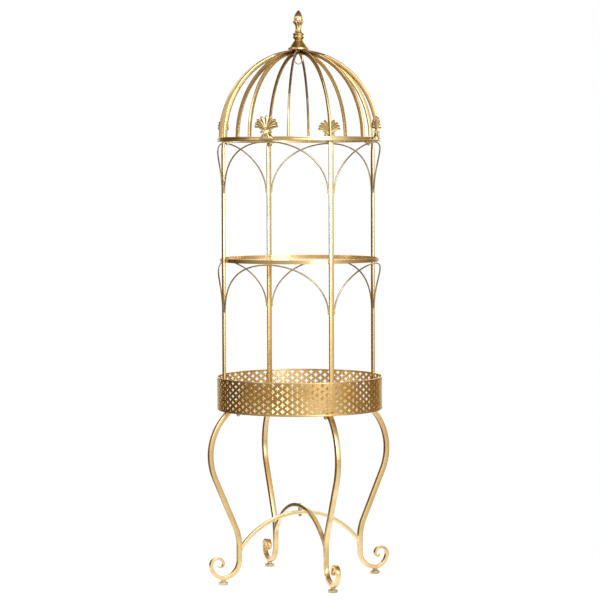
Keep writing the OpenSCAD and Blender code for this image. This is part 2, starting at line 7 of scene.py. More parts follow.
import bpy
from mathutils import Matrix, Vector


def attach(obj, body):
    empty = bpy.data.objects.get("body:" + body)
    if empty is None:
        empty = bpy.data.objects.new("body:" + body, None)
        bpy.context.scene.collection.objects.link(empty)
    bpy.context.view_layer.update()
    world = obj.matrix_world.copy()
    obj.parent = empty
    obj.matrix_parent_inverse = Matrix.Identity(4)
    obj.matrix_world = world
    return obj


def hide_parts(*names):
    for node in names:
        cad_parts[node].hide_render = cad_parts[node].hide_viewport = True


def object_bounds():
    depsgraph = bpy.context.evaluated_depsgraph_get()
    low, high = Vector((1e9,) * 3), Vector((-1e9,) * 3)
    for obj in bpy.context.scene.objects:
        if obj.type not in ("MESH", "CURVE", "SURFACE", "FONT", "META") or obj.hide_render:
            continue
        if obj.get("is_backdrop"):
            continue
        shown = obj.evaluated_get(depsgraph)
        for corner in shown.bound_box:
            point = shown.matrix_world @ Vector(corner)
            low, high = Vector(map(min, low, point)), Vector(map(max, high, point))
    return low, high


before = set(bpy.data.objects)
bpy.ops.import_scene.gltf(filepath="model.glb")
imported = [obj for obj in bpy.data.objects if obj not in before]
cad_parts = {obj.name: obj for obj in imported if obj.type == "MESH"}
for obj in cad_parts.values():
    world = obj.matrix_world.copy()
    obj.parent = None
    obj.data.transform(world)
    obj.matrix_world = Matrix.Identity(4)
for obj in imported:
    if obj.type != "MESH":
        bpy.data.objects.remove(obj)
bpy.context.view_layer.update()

# %% [markdown]
# Every size below is written in millimetres, as a workshop drawing has it, and is turned into metres
# in one place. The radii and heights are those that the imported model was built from.

# %% Units and main sizes
import math
import random

import bmesh
import bpy
from mathutils import Matrix, Vector

MM = 0.001
CORNERS = {"back_right": 45, "back_left": 135, "front_left": 225, "front_right": 315}
SIDES = {"right": 0, "back": 90, "left": 180, "front": 270}
post_circle_r = 212
tray_z = 455
tray_h = 84
shelf_z = 850
dome_z = 1153

# %% [markdown]
# The camera comes first, because everything else is judged through it. The photograph's perspective
# fits a long lens about six metres away, a little above the middle of the stand. A long lens keeps the
# verticals nearly parallel. The small roll makes the stand lean a hair to the left, as it does there.

# %% Camera
camera_distance = 6.02
camera_height = 1.065
camera_azimuth = 22.41
camera_tilt = 3.107
camera_roll = -0.194
camera_pan = 0.016
camera_lens = 137.7

camera_data = bpy.data.cameras.new("photo_camera")
camera_data.lens = camera_lens
camera_data.sensor_width = 36
camera = bpy.data.objects.new("photo_camera", camera_data)
bpy.context.scene.collection.objects.link(camera)
bpy.context.scene.camera = camera
turn = math.radians(camera_azimuth)
camera.matrix_world = (
    Matrix.Translation((camera_distance * math.sin(turn), -camera_distance * math.cos(turn), camera_height))
    @ Matrix.Rotation(turn - math.radians(camera_pan), 4, "Z")
    @ Matrix.Rotation(math.radians(90 - camera_tilt), 4, "X")
    @ Matrix.Rotation(math.radians(camera_roll), 4, "Z")
)
print("camera at", [round(v, 3) for v in camera.matrix_world.translation])

# %% [markdown]
# Colours are written as the sRGB hex values that one would pick from a paint card. Cycles works in
# linear light, so one function turns them. One more small function adds a shader node, sets its
# values and makes its links, which keeps each material below as short as a recipe.
# A colour ramp and an empty material each get a helper too, because both are needed more than once.

# %% Colour and node helpers
def colour(code):
    """An sRGB hex code as linear red, green, blue and alpha."""
    parts = [int(code[i:i + 2], 16) / 255 for i in (1, 3, 5)]
    linear = [p / 12.92 if p <= 0.04045 else ((p + 0.055) / 1.055) ** 2.4 for p in parts]
    return (*linear, 1.0)


def add(tree, kind, inputs=None, **settings):
    """Adds a shader node. Inputs are values or the sockets that feed them."""
    made = tree.nodes.new("ShaderNode" + kind)
    for key, value in settings.items():
        setattr(made, key, value)
    for key, value in (inputs or {}).items():
        if isinstance(value, bpy.types.NodeSocket):
            tree.links.new(value, made.inputs[key])
        else:
            made.inputs[key].default_value = value
    return made


def set_ramp(ramp, stops):
    """Sets a colour ramp's stops from a list of (place, grey or colour)."""
    elements = ramp.color_ramp.elements
    while len(elements) < len(stops):
        elements.new(1.0)
    for element, (place, shade) in zip(elements, stops):
        element.position = place
        element.color = shade if isinstance(shade, tuple) else (shade, shade, shade, 1.0)


def new_material(name):
    """An empty node material: returns it, its tree and its output node."""
    made = bpy.data.materials.new(name)
    made.use_nodes = True
    made.node_tree.nodes.clear()
    return made, made.node_tree, add(made.node_tree, "OutputMaterial")


print("a mid gold in linear light:", [round(v, 3) for v in colour("#cda97a")])

# %% [markdown]
# The stand is iron under a metallic gold paint that was sprayed, rubbed back by hand and sealed with a
# clear lacquer. Flakes of metal in the paint make it reflect as a metal does, so metallic is 1 and the
# index of refraction stays at its default. The lacquer is a coat: it adds the whitish glint on top of
# the gold. The rubbing leaves browner patches some 30 to 60 mm across, with a mottle of 3.5 mm inside
# them, and the lacquer's orange peel is under a millimetre. Convex edges are rubbed brighter, which also
# paints a highlight along them, and hollows are painted brown as shade. The same recipe serves every
# gilt piece, each with its own pair of colours and its own share of brown: a bright one for castings and
# the dome ring, a darker one that is painted shade on inward faces and on plates and nuts under other
# parts, a brown one that is painted shade on the ribs near the crown and on the palmettes' flanks and
# also serves the finial's tip, pale ones that are painted light on the upper posts and the stretchers,
# and a duller, greyer one for the wire and the glides, which is also painted shade on the front and
# back ribs.

# %% Gilt paint
patch_size = 45 * MM
mottle_size = 3.5 * MM
peel_size = 0.9 * MM
peel_strength = 0.008
rubbed_highlight_gold, edge_wear_and_highlight = "#f6e2b4", 0.2
hollow_shade_brown, hollow_shade_depth = "#5f3f1a", 0.85
coat_weight, coat_rough = 0.45, 0.1


def gilt_paint(name, bright, worn, wear, rough_low=0.2, rough_high=0.32):
    """Rubbed and lacquered metallic gold paint, with a painted highlight on convex edges and painted shade in
    hollows. wear is the share of the browner colour, from 0 to 1.
    """
    made, tree, out = new_material(name)
    place = add(tree, "TexCoord").outputs["Object"]
    patches = add(tree, "TexNoise", {"Vector": place, "Scale": 1 / patch_size, "Detail": 3.0, "Roughness": 0.55})
    mottle = add(tree, "TexNoise", {"Vector": place, "Scale": 1 / mottle_size, "Detail": 2.0})
    peel_noise = add(tree, "TexNoise", {"Vector": place, "Scale": 1 / peel_size, "Detail": 1.0})
    both = add(tree, "Math", {0: mottle.outputs[0], 1: 0.1, 2: patches.outputs[0]}, operation="MULTIPLY_ADD")
    share = add(tree, "MapRange", {
        "Value": both.outputs[0], "From Min": 0.42, "From Max": 0.72, "To Min": 0.0, "To Max": wear,
    })
    tint = add(tree, "Mix", {0: share.outputs[0], 6: colour(bright), 7: colour(worn)}, data_type="RGBA")
    # Pointiness paints a highlight on convex edges, together with their rubbed wear, and paints shade into hollows.
    edges = add(tree, "NewGeometry").outputs["Pointiness"]
    edge_wear_and_highlight_share = add(tree, "MapRange", {
        "Value": edges, "From Min": 0.53, "From Max": 0.6, "To Min": 0.0, "To Max": edge_wear_and_highlight,
    })
    lit = add(tree, "Mix", {0: edge_wear_and_highlight_share.outputs[0], 6: tint.outputs[2], 7: colour(rubbed_highlight_gold)}, data_type="RGBA")
    hollows = add(tree, "MapRange", {
        "Value": edges, "From Min": 0.485, "From Max": 0.43, "To Min": 0.0, "To Max": hollow_shade_depth,
    })
    gold = add(tree, "Mix", {0: hollows.outputs[0], 6: lit.outputs[2], 7: colour(hollow_shade_brown)}, data_type="RGBA")
    rough = add(tree, "MapRange", {
        "Value": both.outputs[0], "From Min": 0.4, "From Max": 0.8, "To Min": rough_low, "To Max": rough_high,
    })
    bump = add(tree, "Bump", {"Height": peel_noise.outputs[0], "Strength": peel_strength, "Distance": 0.3 * MM})
    paint = add(tree, "BsdfPrincipled", {
        "Base Color": gold.outputs[2], "Metallic": 1.0, "Roughness": rough.outputs[0],
        "Normal": bump.outputs[0], "Coat Weight": coat_weight, "Coat Roughness": coat_rough,
    })
    tree.links.new(paint.outputs[0], out.inputs["Surface"])
    return made


gilt = gilt_paint("gilt_paint", "#efd29c", "#b8935a", wear=0.5)
# A darker gilt that is painted shade: the inward faces of the posts, and plates and nuts under other parts.
shaded_gilt = gilt_paint("painted_shade_gilt_paint", "#e4c286", "#9c7440", wear=0.7, rough_low=0.22, rough_high=0.34)
bright_gilt = gilt_paint("bright_gilt_paint", "#f6e0b0", "#c8a46c", wear=0.4, rough_low=0.16, rough_high=0.26)
# A brown gilt that is painted shade on the ribs near the crown and on the palmettes' flanks; the finial's tip takes
# it too.
brown_gilt = gilt_paint("brown_gilt_paint", "#a08152", "#674b2a", wear=0.8, rough_low=0.3, rough_high=0.4)
# Pale gilts that are painted light on the stretchers and the posts above the shelf; the second is also painted shade
# on those posts' inward faces.
lit_pale_gilt = gilt_paint("painted_light_pale_gilt_paint", "#f2e2b8", "#cbb180", wear=0.5)
lit_shaded_gilt = gilt_paint("painted_light_and_shade_gilt_paint", "#dccaa0", "#b09468", wear=0.6)
# A duller, greyer gilt for the wire and the glides; on the front and back ribs it is painted shade.
wire_gilt = gilt_paint("gilt_wire_paint", "#dac8a4", "#95805e", wear=0.8, rough_low=0.22, rough_high=0.34)
print("gilt paint: patches of %.0f mm, mottle of %.1f mm" % (patch_size / MM, mottle_size / MM))

# %% [markdown]
# The tray's band was punched from thin sheet and painted with the rest. The punch leaves the sheet a
# little wavy from star to star, which breaks its reflections into small glints, so this paint has a
# second, stronger bump at half the distance of the stars. The band's inside is painted brighter, as the
# light that gathers inside the tray, so it has its own pair of colours.

# %% Gilt punched sheet
star_pitch = 16.6
wave_size = star_pitch / 2 * MM
band_paint = gilt_paint("gilt_punched_sheet", "#ebc98a", "#a67c44", wear=0.5, rough_low=0.2, rough_high=0.3)
# The inside's brighter colours are painted light.
lit_inside_paint = gilt_paint("gilt_sheet_inside_painted_light", "#fbeaba", "#dcb678", wear=0.5, rough_low=0.2, rough_high=0.3)
for sheet_paint in (band_paint, lit_inside_paint):
    tree = sheet_paint.node_tree
    place = add(tree, "TexCoord").outputs["Object"]
    waves = add(tree, "TexNoise", {"Vector": place, "Scale": 1 / wave_size, "Detail": 1.0})
    wavy = add(tree, "Bump", {"Height": waves.outputs[0], "Strength": 0.15, "Distance": 1.0 * MM})
    paint = next(n for n in tree.nodes if n.bl_idname == "ShaderNodeBsdfPrincipled")
    fine = paint.inputs["Normal"].links[0].from_node
    tree.links.new(wavy.outputs[0], fine.inputs["Normal"])
print("punched sheet: waves of %.1f mm" % (wave_size / MM))

# %% [markdown]
# Bolts and screws are zinc-plated steel. Zinc is a grey metal with a soft, slightly blue sheen, and the
# gold spray drifted over these, so the grey is warm. Turning marks run round them at a third of a
# millimetre, which is too fine to show here, so they are drawn 1.2 mm apart.

# %% Zinc-plated steel
marks_size = 1.2 * MM
zinc, tree, out = new_material("zinc_plated_steel")
place = add(tree, "TexCoord").outputs["Object"]
grain = add(tree, "TexNoise", {"Vector": place, "Scale": 1 / marks_size, "Detail": 3.0})
tint = add(tree, "Mix", {0: grain.outputs[0], 6: colour("#b39a6a"), 7: colour("#8f8470")}, data_type="RGBA")
rough = add(tree, "MapRange", {"Value": grain.outputs[0], "To Min": 0.25, "To Max": 0.5})
marks = add(tree, "TexWave", {"Vector": place, "Scale": 1 / marks_size, "Distortion": 1.0}, bands_direction="Z")
bump = add(tree, "Bump", {"Height": marks.outputs[1], "Strength": 0.08, "Distance": 0.1 * MM})
steel = add(tree, "BsdfPrincipled", {
    "Base Color": tint.outputs[2], "Metallic": 1.0, "Roughness": rough.outputs[0], "Normal": bump.outputs[0],
})
tree.links.new(steel.outputs[0], out.inputs["Surface"])
print("material:", zinc.name)

# %% [markdown]
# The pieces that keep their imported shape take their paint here. Only the material slot changes. Every
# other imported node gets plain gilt, although a finer piece will hide it.

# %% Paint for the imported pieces
PACKED = {
    gilt: ["shelf_ring", "tray_floor"],
    # These plates and nuts sit under the tray and the dome ring and take the darker gilt as painted shade.
    shaded_gilt: ["leg_plates", "tray_cap_nuts", "dome_nuts"],
    # The shelf's sheet takes the bright gilt as a painted reflection of the white room seen at a grazing angle.
    bright_gilt: ["stretcher_bolt", "stretcher_spacer", "tray_rim", "shelf_sheet"],
    zinc: ["stretcher_nut", "tray_bolts", "shelf_screws", "dome_studs", "palmette_screws"],
}
for paint, names in PACKED.items():
    for name in names:
        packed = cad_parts[name]
        packed.data.materials.clear()
        packed.data.materials.append(paint)
for name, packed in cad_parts.items():
    if not any(name in names for names in PACKED.values()):
        packed.data.materials.clear()
        packed.data.materials.append(gilt)
print("painted", sum(len(names) for names in PACKED.values()), "packed pieces")

# %% [markdown]
# Nearly every piece of this stand is a bar or a wire that was bent along a line. The general way to
# draw one is to lay a closed section at each of many stations along that line and to skin them with
# quads. It could be a curve object with a bevel, but with a mesh the section can change on the way, as
# it does where a scroll thins to its tip. First come the sections of a bar, a crowned bar and a wire.

# %% Sections
def rounded_section(width, depth, radius, steps=3):
    """A rounded rectangle as (across, out) pairs, anticlockwise, round the origin."""
    corners = ((1, 1), (-1, 1), (-1, -1), (1, -1))
    section = []
    for k, (sx, sy) in enumerate(corners):
        for i in range(steps + 1):
            a = math.radians(90 * k + 90 * i / steps)
            section.append((
                sx * (width / 2 - radius) + radius * math.cos(a),
                sy * (depth / 2 - radius) + radius * math.sin(a),
            ))
    return section


def crowned_section(width, depth, radius, crown):
    """A flat bar's section with slightly bulging wide faces, as a rolling mill leaves them."""
    section = rounded_section(width - 2 * crown, depth, radius)
    full = []
    for k, (across, out) in enumerate(section):
        full.append((across, out))
        after = section[(k + 1) % len(section)]
        if abs(after[1] - out) > depth / 2:
            full += [(across, out + (after[1] - out) * i / 8) for i in range(1, 8)]
    return [(across + math.copysign(crown * (1 - (2 * out / depth) ** 2), across), out) for across, out in full]


def round_section(radius, sides=12):
    """A circle as (across, out) pairs."""
    return [(radius * math.cos(math.tau * i / sides), radius * math.sin(math.tau * i / sides)) for i in range(sides)]


print("a square bar has", len(rounded_section(12.5, 12.5, 1.5)), "points round it")

# %% [markdown]
# Now the skin over the stations. A bmesh is used, because it can be cut and measured before it becomes
# an object. A saw cut is a plane that removes what lies beyond it and closes the end.

# %% Skins and cuts
def skin(bm, rings, closed=False):
    """Adds quads between rings of points, and a cap on each end unless the rings close on themselves."""
    rows = [[bm.verts.new(p) for p in ring] for ring in rings]
    pairs = list(zip(rows, rows[1:]))
    if closed:
        pairs.append((rows[-1], rows[0]))
    count = len(rows[0])
    for low, high in pairs:
        for i in range(count):
            j = (i + 1) % count
            bm.faces.new((low[i], low[j], high[j], high[i]))
    if not closed:
        bm.faces.new(rows[0][::-1])
        bm.faces.new(rows[-1])
    return bm


def cut(bm, point, normal):
    """Cuts away what lies beyond a plane and closes the cut."""
    geometry = bm.verts[:] + bm.edges[:] + bm.faces[:]
    made = bmesh.ops.bisect_plane(bm, geom=geometry, plane_co=point, plane_no=normal, clear_outer=True)
    rim = [g for g in made["geom_cut"] if isinstance(g, bmesh.types.BMEdge)]
    bmesh.ops.holes_fill(bm, edges=rim, sides=0)


trial = skin(bmesh.new(), [[(x, y, z) for x, y in rounded_section(12.5, 12.5, 1.5)] for z in (0, 10)])
print("10 mm of square bar takes", len(trial.faces), "faces")
trial.free()

# %% [markdown]
# Every piece is finished in the same way: faces turned outward, turned to its corner, millimetres made
# metres, smooth shading with sharp edges kept, a paint, and then its body and the imported nodes that
# it stands for. repaint_faces gives some faces of a piece another paint; this lays on painted shade and
# painted light, such as the browner inner side of a post, which is painted shade.

# %% Finished pieces
def piece(name, bm, paint, slot, *nodes, body="stand", degrees=0.0, crease=38):
    """Turns a mesh in millimetres into a finished piece that rides on its body and replaces its nodes."""
    bmesh.ops.recalc_face_normals(bm, faces=bm.faces)
    place = Matrix.Rotation(math.radians(degrees), 4, "Z") @ Matrix.Scale(MM, 4)
    bmesh.ops.transform(bm, matrix=place, verts=bm.verts)
    mesh = bpy.data.meshes.new(name)
    bm.to_mesh(mesh)
    bm.free()
    mesh.shade_smooth()
    mesh.set_sharp_from_angle(angle=math.radians(crease))
    mesh.materials.append(paint)
    made = bpy.data.objects.new(name, mesh)
    bpy.context.scene.collection.objects.link(made)
    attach(made, body)
    if nodes:
        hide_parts(*nodes)
    return made


# Used to lay painted shade and painted light on chosen faces.
def repaint_faces(made, paint, test):
    """Gives another paint to the faces that pass a test of their middle and their normal."""
    made.data.materials.append(paint)
    for polygon in made.data.polygons:
        if test(polygon.center, polygon.normal):
            polygon.material_index = len(made.data.materials) - 1


def direction(degrees):
    """A level unit vector."""
    return Vector((math.cos(math.radians(degrees)), math.sin(math.radians(degrees)), 0))


print("a face that points to the front right looks along", [round(v, 2) for v in direction(315)])

# %% [markdown]
# Legs, posts, ribs and stretchers all lie in one upright plane through the stand's middle. They are
# drawn there, with the radius as x, and then turned to their corner. Each station is a point, the
# direction that faces outward and the bar's thickness that way. A weld is a lumpy tube round a joint.

# %% Bars in a radial plane
def radial_bar(stations, width, radius, crown=0):
    """Skins a bar whose middle line lies in the plane of x and z. stations: (x, z, out_x, out_z, thickness)."""
    rings = []
    for x, z, out_x, out_z, thick in stations:
        if crown:
            section = crowned_section(width, thick, radius, crown)
        else:
            section = rounded_section(width, thick, min(radius, 0.49 * thick))
        rings.append([(x + out * out_x, across, z + out * out_z) for across, out in section])
    return skin(bmesh.new(), rings)


def arc(cx, cz, r, start, end, step=2.5):
    """Points of an arc as (x, z, angle in radians), from start to end in degrees."""
    count = max(2, math.ceil(abs(end - start) / step))
    angles = [math.radians(start + (end - start) * i / count) for i in range(count + 1)]
    return [(cx + r * math.cos(a), cz + r * math.sin(a), a) for a in angles]


def bead(bm, points, radius, seed, sides=8):
    """A weld bead: a lumpy closed tube along points that lie round a joint."""
    rng = random.Random(seed)
    middle = sum((Vector(p) for p in points), Vector()) / len(points)
    rings = []
    count = len(points)
    for i, p in enumerate(points):
        here = Vector(p)
        along = (Vector(points[(i + 1) % count]) - Vector(points[i - 1])).normalized()
        out = (here - middle).normalized()
        side = along.cross(out).normalized()
        r = radius * (1 + 0.22 * math.sin(i * 1.9) + rng.uniform(-0.12, 0.12))
        rings.append([here + out * r * math.cos(v) + side * r * math.sin(v)
                      for v in [math.tau * j / sides for j in range(sides)]])
    return skin(bm, rings, closed=True)


print("an arc of 90 degrees takes", len(arc(0, 0, 1, 0, 90)), "stations")

# %% [markdown]
# Each leg is one square steel bar, bent cold over formers: a bulge, a long pinch and a scroll that the
# smith draws thinner towards its tip. The arcs below are the formers' radii. Six arcs of falling radius
# make the scroll, because a scroll that is bent round a stepped former looks just like that.

# %% Legs
leg_bar = 12.5
leg_top_z = 451
bulge_centre, bulge_r = (101, 338), 150
pinch_centre, pinch_r = (303.6, 98), 131
leg_top_angle, spare_angle, leg_slope = 48.9, 5, 23.3
foot_x, scroll_z = 217.1, 62.4
scroll_radii = [44.5, 34, 18, 16, 8, 6]
scroll_angles = [180, 270, 360, 450, 540, 630, 690]
scroll_tip = 3
bar_corner_r, nose = 1.5, 1.5


def leg_stations():
    """The leg's middle line, from above its top, where a saw cut follows, down to the tip of the scroll."""
    line = []
    for x, z, a in arc(*bulge_centre, bulge_r, leg_top_angle + spare_angle, -leg_slope):
        line.append((x, z, math.cos(a), math.sin(a), leg_bar))
    for x, z, a in arc(*pinch_centre, pinch_r, 180 - leg_slope, 180)[1:]:
        line.append((x, z, -math.cos(a), -math.sin(a), leg_bar))
    cx, cz = foot_x, scroll_z
    first, last = scroll_angles[0], scroll_angles[-1]
    for k, r in enumerate(scroll_radii):
        if k:
            shift = scroll_radii[k - 1] - r
            cx += shift * math.cos(math.radians(scroll_angles[k]))
            cz += shift * math.sin(math.radians(scroll_angles[k]))
        for x, z, a in arc(cx, cz, r, scroll_angles[k], scroll_angles[k + 1], 6)[1:]:
            thick = leg_bar + (scroll_tip - leg_bar) * (math.degrees(a) - first) / (last - first)
            line.append((x, z, -math.cos(a), -math.sin(a), thick))
    return line


def rounded_end(line, reach, steps=4):
    """Closes a bar's end with a short round nose instead of a saw cut."""
    x, z, out_x, out_z, thick = line[-1]
    before = line[-2]
    along = Vector((x - before[0], z - before[1])).normalized()
    extra = []
    for i in range(1, steps + 1):
        a = math.pi / 2 * i / steps
        extra.append((x + along.x * reach * math.sin(a), z + along.y * reach * math.sin(a), out_x, out_z,
                      max(thick * math.cos(a), 0.3)))
    return line + extra


for corner, degrees in CORNERS.items():
    bm = radial_bar(rounded_end(leg_stations(), nose), leg_bar, bar_corner_r)
    cut(bm, (0, 0, leg_top_z), (0, 0, 1))
    piece("scrolled_leg_" + corner, bm, gilt, "gold_paint", "leg_" + corner, degrees=degrees)
print("four legs of", len(leg_stations()), "stations each")

# %% [markdown]
# The two stretchers are arcs of 10 mm bar that cross under the tray. Their ends are welded to the insides
# of the legs, so each end runs on into the leg and has a lumpy bead of weld round it. The grinder leaves
# such a bead about 1.5 mm high. Their gold is painted paler than the legs', as the light on their upper faces.

# %% Stretchers
stretcher_bar, stretcher_edge_r = 10, 1.2
stretcher_r = 207.6
lower_top_z, upper_top_z = 177.6, 196
pinch_x = 172.6
weld_r, weld_margin, weld_corner_r = 1.5, 0.6, 2


def stretcher(name, node, top_z, degrees, seed):
    """An arched bar from leg to leg, with a weld at each end."""
    centre_z = top_z - stretcher_r
    half = math.degrees(math.asin(pinch_x / stretcher_r))
    line = [(x, z, math.cos(a), math.sin(a), stretcher_bar)
            for x, z, a in arc(0, centre_z, stretcher_r, 90 + half, 90 - half, 2)]
    bm = radial_bar(line, stretcher_bar, stretcher_edge_r)
    face_x = pinch_x - leg_bar / 2
    lean = math.asin(face_x / stretcher_r)
    joint_z = centre_z + stretcher_r * math.cos(lean)
    for side in (-1, 1):
        outline = rounded_section(stretcher_bar + weld_margin, stretcher_bar / math.cos(lean) + weld_margin,
                                  weld_corner_r, 4)
        bead(bm, [(side * (face_x + 0.2), y, joint_z + z) for y, z in outline], weld_r, seed + side)
    # The paler gilt is painted light.
    piece(name, bm, lit_pale_gilt, "aged_gold_paint", node, degrees=degrees)


stretcher("arched_stretcher_lower", "stretcher_lower", lower_top_z, 45, 11)
stretcher("arched_stretcher_upper", "stretcher_upper", upper_top_z, 135, 21)
print("two stretchers, one %.1f mm above the other" % (upper_top_z - lower_top_z - stretcher_bar))

# %% [markdown]
# Pads, caps and rings of this stand were turned on a lathe or spun. Such a form is one profile that goes
# round an axis, so one function does the same here. A second small function bends the circle into a
# hexagon, for a neck that takes a spanner.

# %% Turned pieces
def spin(bm, profile, around, middle, shape=None):
    """Spins a profile of (radius, height) round an upright axis. shape(angle, height, radius) bends the circle."""
    rings = []
    for r, z in profile:
        ring = []
        for i in range(around):
            a = math.tau * i / around
            reach = max(shape(a, z, r) if shape else r, 0.01)
            ring.append((middle[0] + reach * math.cos(a), middle[1] + reach * math.sin(a), middle[2] + z))
        rings.append(ring)
    return skin(bm, rings)


def hexagon(across_flats):
    """A shape for spin that turns a circle into a hexagon with slightly worn corners."""
    def shape(a, z, r):
        """The same at every height, and never more than the profile's own radius."""
        within = (a + math.pi / 6) % (math.pi / 3) - math.pi / 6
        return min(r, across_flats / 2 / math.cos(within))
    return shape


print("a 12 mm nut is %.1f mm over its corners" % (2 * hexagon(12)(math.pi / 6 - 0.001, 0, 99)))

# %% [markdown]
# Under each scroll sits a levelling glide: a turned pad, a hexagonal neck for the spanner and a stud that
# screws up into the leg. The glide rides on its own body, because it screws out by 6 mm, so its stud is
# drawn too. It takes the duller gilt.

# %% Foot glides
neck_flats = 12.1
pad_profile = [(0.1, 0), (10.9, 0), (12, 0.4), (12.5, 1.2), (12.5, 6.6), (12.2, 7.4), (11.5, 7.9), (6, 8), (0.1, 8)]
neck_profile = [(0.1, 7.9), (6.3, 7.9), (6.9, 8.4), (6.9, 11.7), (6.4, 12.2), (3, 12.2), (3, 21.9), (0.1, 21.9)]
for corner, degrees in CORNERS.items():
    bm = bmesh.new()
    spin(bm, pad_profile, 48, (foot_x, 0, 0))
    spin(bm, neck_profile, 48, (foot_x, 0, 0), hexagon(neck_flats))
    piece("levelling_glide_" + corner, bm, wire_gilt, "aged_gold_paint", "foot_glide_" + corner,
          body="glide_" + corner, degrees=degrees)
print("four glides %.0f mm across" % (2 * pad_profile[3][0]))

# %% [markdown]
# A post is a flat bar. Its two ends were hammered thinner and turned inward into tabs: the lower one
# lies on the tray's floor under a bolt, the upper one under the dome ring. So the section runs from
# 3 mm at a tab to 6.5 mm in the upright, and the bend is a real bend with a radius. The gold is painted
# browner on the side that faces inward, as shade, and paler above the shelf, as light, which leaves the
# part below the shelf darker as if in its shade. A face counts as inward when the cosine of its angle to
# outward is below the limit.

# %% Posts
post_w, post_t, tab_t = 12, 6.5, 3
post_edge_r = 1.1
bend_r, bend_swell = 6, 1.2
thicken = 16
tray_floor_t = 2
tray_tab_z = tray_z + tray_floor_t + tab_t / 2
head_tab_z = dome_z - tab_t / 2
tray_tab_x, head_tab_x = 164, 191


def post_stations():
    """From the tip of the lower tab, round the bend, up and round again to the tip of the upper tab."""
    line = [(tray_tab_x, tray_tab_z, 0, -1, tab_t), (post_circle_r - bend_r - 2, tray_tab_z, 0, -1, tab_t)]
    for x, z, a in arc(post_circle_r - bend_r, tray_tab_z + bend_r, bend_r, -90, 0, 10):
        line.append((x, z, math.cos(a), math.sin(a), tab_t + bend_swell * (math.degrees(a) + 90) / 90))
    low, high = tray_tab_z + bend_r + thicken, head_tab_z - bend_r - thicken
    for i in range(41):
        line.append((post_circle_r, low + (high - low) * i / 40, 1, 0, post_t))
    for x, z, a in arc(post_circle_r - bend_r, head_tab_z - bend_r, bend_r, 0, 90, 10):
        line.append((x, z, math.cos(a), math.sin(a), tab_t + bend_swell * (90 - math.degrees(a)) / 90))
    line += [(post_circle_r - bend_r - 2, head_tab_z, 0, 1, tab_t), (head_tab_x, head_tab_z, 0, 1, tab_t)]
    return line


facing_in = -0.6
for corner, degrees in CORNERS.items():
    post = piece("flat_post_" + corner, radial_bar(post_stations(), post_w, post_edge_r), gilt, "gold_paint",
                 "post_" + corner, degrees=degrees)
    # Painted shade on the inward faces, painted light above the shelf, and both where they meet.
    repaint_faces(post, shaded_gilt, lambda middle, normal: normal.dot(direction(degrees)) < facing_in)
    repaint_faces(post, lit_pale_gilt, lambda middle, normal: middle.z > shelf_z * MM)
    repaint_faces(post, lit_shaded_gilt, lambda middle, normal: (
        middle.z > shelf_z * MM and normal.dot(direction(degrees)) < facing_in))
print("four posts of %.0f x %.1f mm bar" % (post_w, post_t))

# %% [markdown]
# The arches are 4 mm wire bent on the same circle as the posts. Each springs from a post, rises to its
# crown under the ring above and comes down to the next post, half an ellipse wrapped on a cylinder.
# The wire is tacked with small weld nuggets: two on each post and one under the ring.

# %% Arches
wire_r = 2
upper_rise, lower_rise = 132, 127
shelf_ring_h, weld_gap = 10, 0.2
post_tack, ring_tack = (1.2, 1.1, 2.0), (1.6, 2.6, 0.9)
tack_heights, tack_sink = (0.03, 0.14), 0.7
post_side_gap = post_w / 2 + wire_r
arch_end = 45 - math.degrees(math.asin((post_side_gap - 0.4) / post_circle_r))


def nugget(bm, middle, size, seed):
    """A tack weld: a small squashed drop of metal."""
    rng = random.Random(seed)
    first = len(bm.verts)
    bmesh.ops.create_icosphere(bm, subdivisions=2, radius=1.0)
    bm.verts.ensure_lookup_table()
    for v in bm.verts[first:]:
        lump = 1 + rng.uniform(-0.08, 0.08)
        v.co = Vector(middle) + Vector((v.co.x * size[0], v.co.y * size[1], v.co.z * size[2])) * lump


def arch(name, node, apex_z, rise, degrees, seed, steps=56):
    """Half an ellipse of wire on the posts' circle, with its tack welds."""
    rings = []
    for i in range(steps + 1):
        u = math.radians(-90 + 180 * i / steps)
        a = math.radians(arch_end * math.sin(u))
        place = Vector((post_circle_r * math.cos(a), post_circle_r * math.sin(a), apex_z - rise + rise * math.cos(u)))
        swing = math.radians(arch_end) * math.cos(u) * post_circle_r
        along = Vector((-math.sin(a) * swing, math.cos(a) * swing, -rise * math.sin(u))).normalized()
        out = Vector((math.cos(a), math.sin(a), 0))
        across = along.cross(out)
        rings.append([place + across * p + out * q for p, q in round_section(wire_r)])
    bm = skin(bmesh.new(), rings)
    for side in (-1, 1):
        a = math.radians(side * (arch_end + 0.35))
        for rise_share in tack_heights:
            nugget(bm, (post_circle_r * math.cos(a), post_circle_r * math.sin(a), apex_z - rise + rise * rise_share),
                   post_tack, seed + side)
    nugget(bm, (post_circle_r, 0, apex_z + wire_r - tack_sink), ring_tack, seed)
    piece(name, bm, wire_gilt, "gold_paint", node, degrees=degrees)


for k, (side, degrees) in enumerate(SIDES.items()):
    arch("wire_arch_upper_" + side, "arch_upper_" + side, dome_z - wire_r - weld_gap, upper_rise, degrees, 100 + k)
    arch("wire_arch_lower_" + side, "arch_lower_" + side, shelf_z - shelf_ring_h - wire_r - weld_gap, lower_rise,
         degrees, 200 + k)
print("eight arches end %.1f degrees from their middle" % arch_end)

# %% [markdown]
# Twelve flat bars on edge make the dome. Seen from above they run out from the crown like spokes; seen
# from the side each is a quarter of an ellipse with a short straight foot on the dome ring. The bar's
# edges are rolled, so they are slightly round and catch a line of light. Near the crown, where twelve
# bars crowd together, the ribs are painted brown as shade. On the front and the back rib this painted
# shade reaches much further down, with a duller gold below it that is painted shade too.

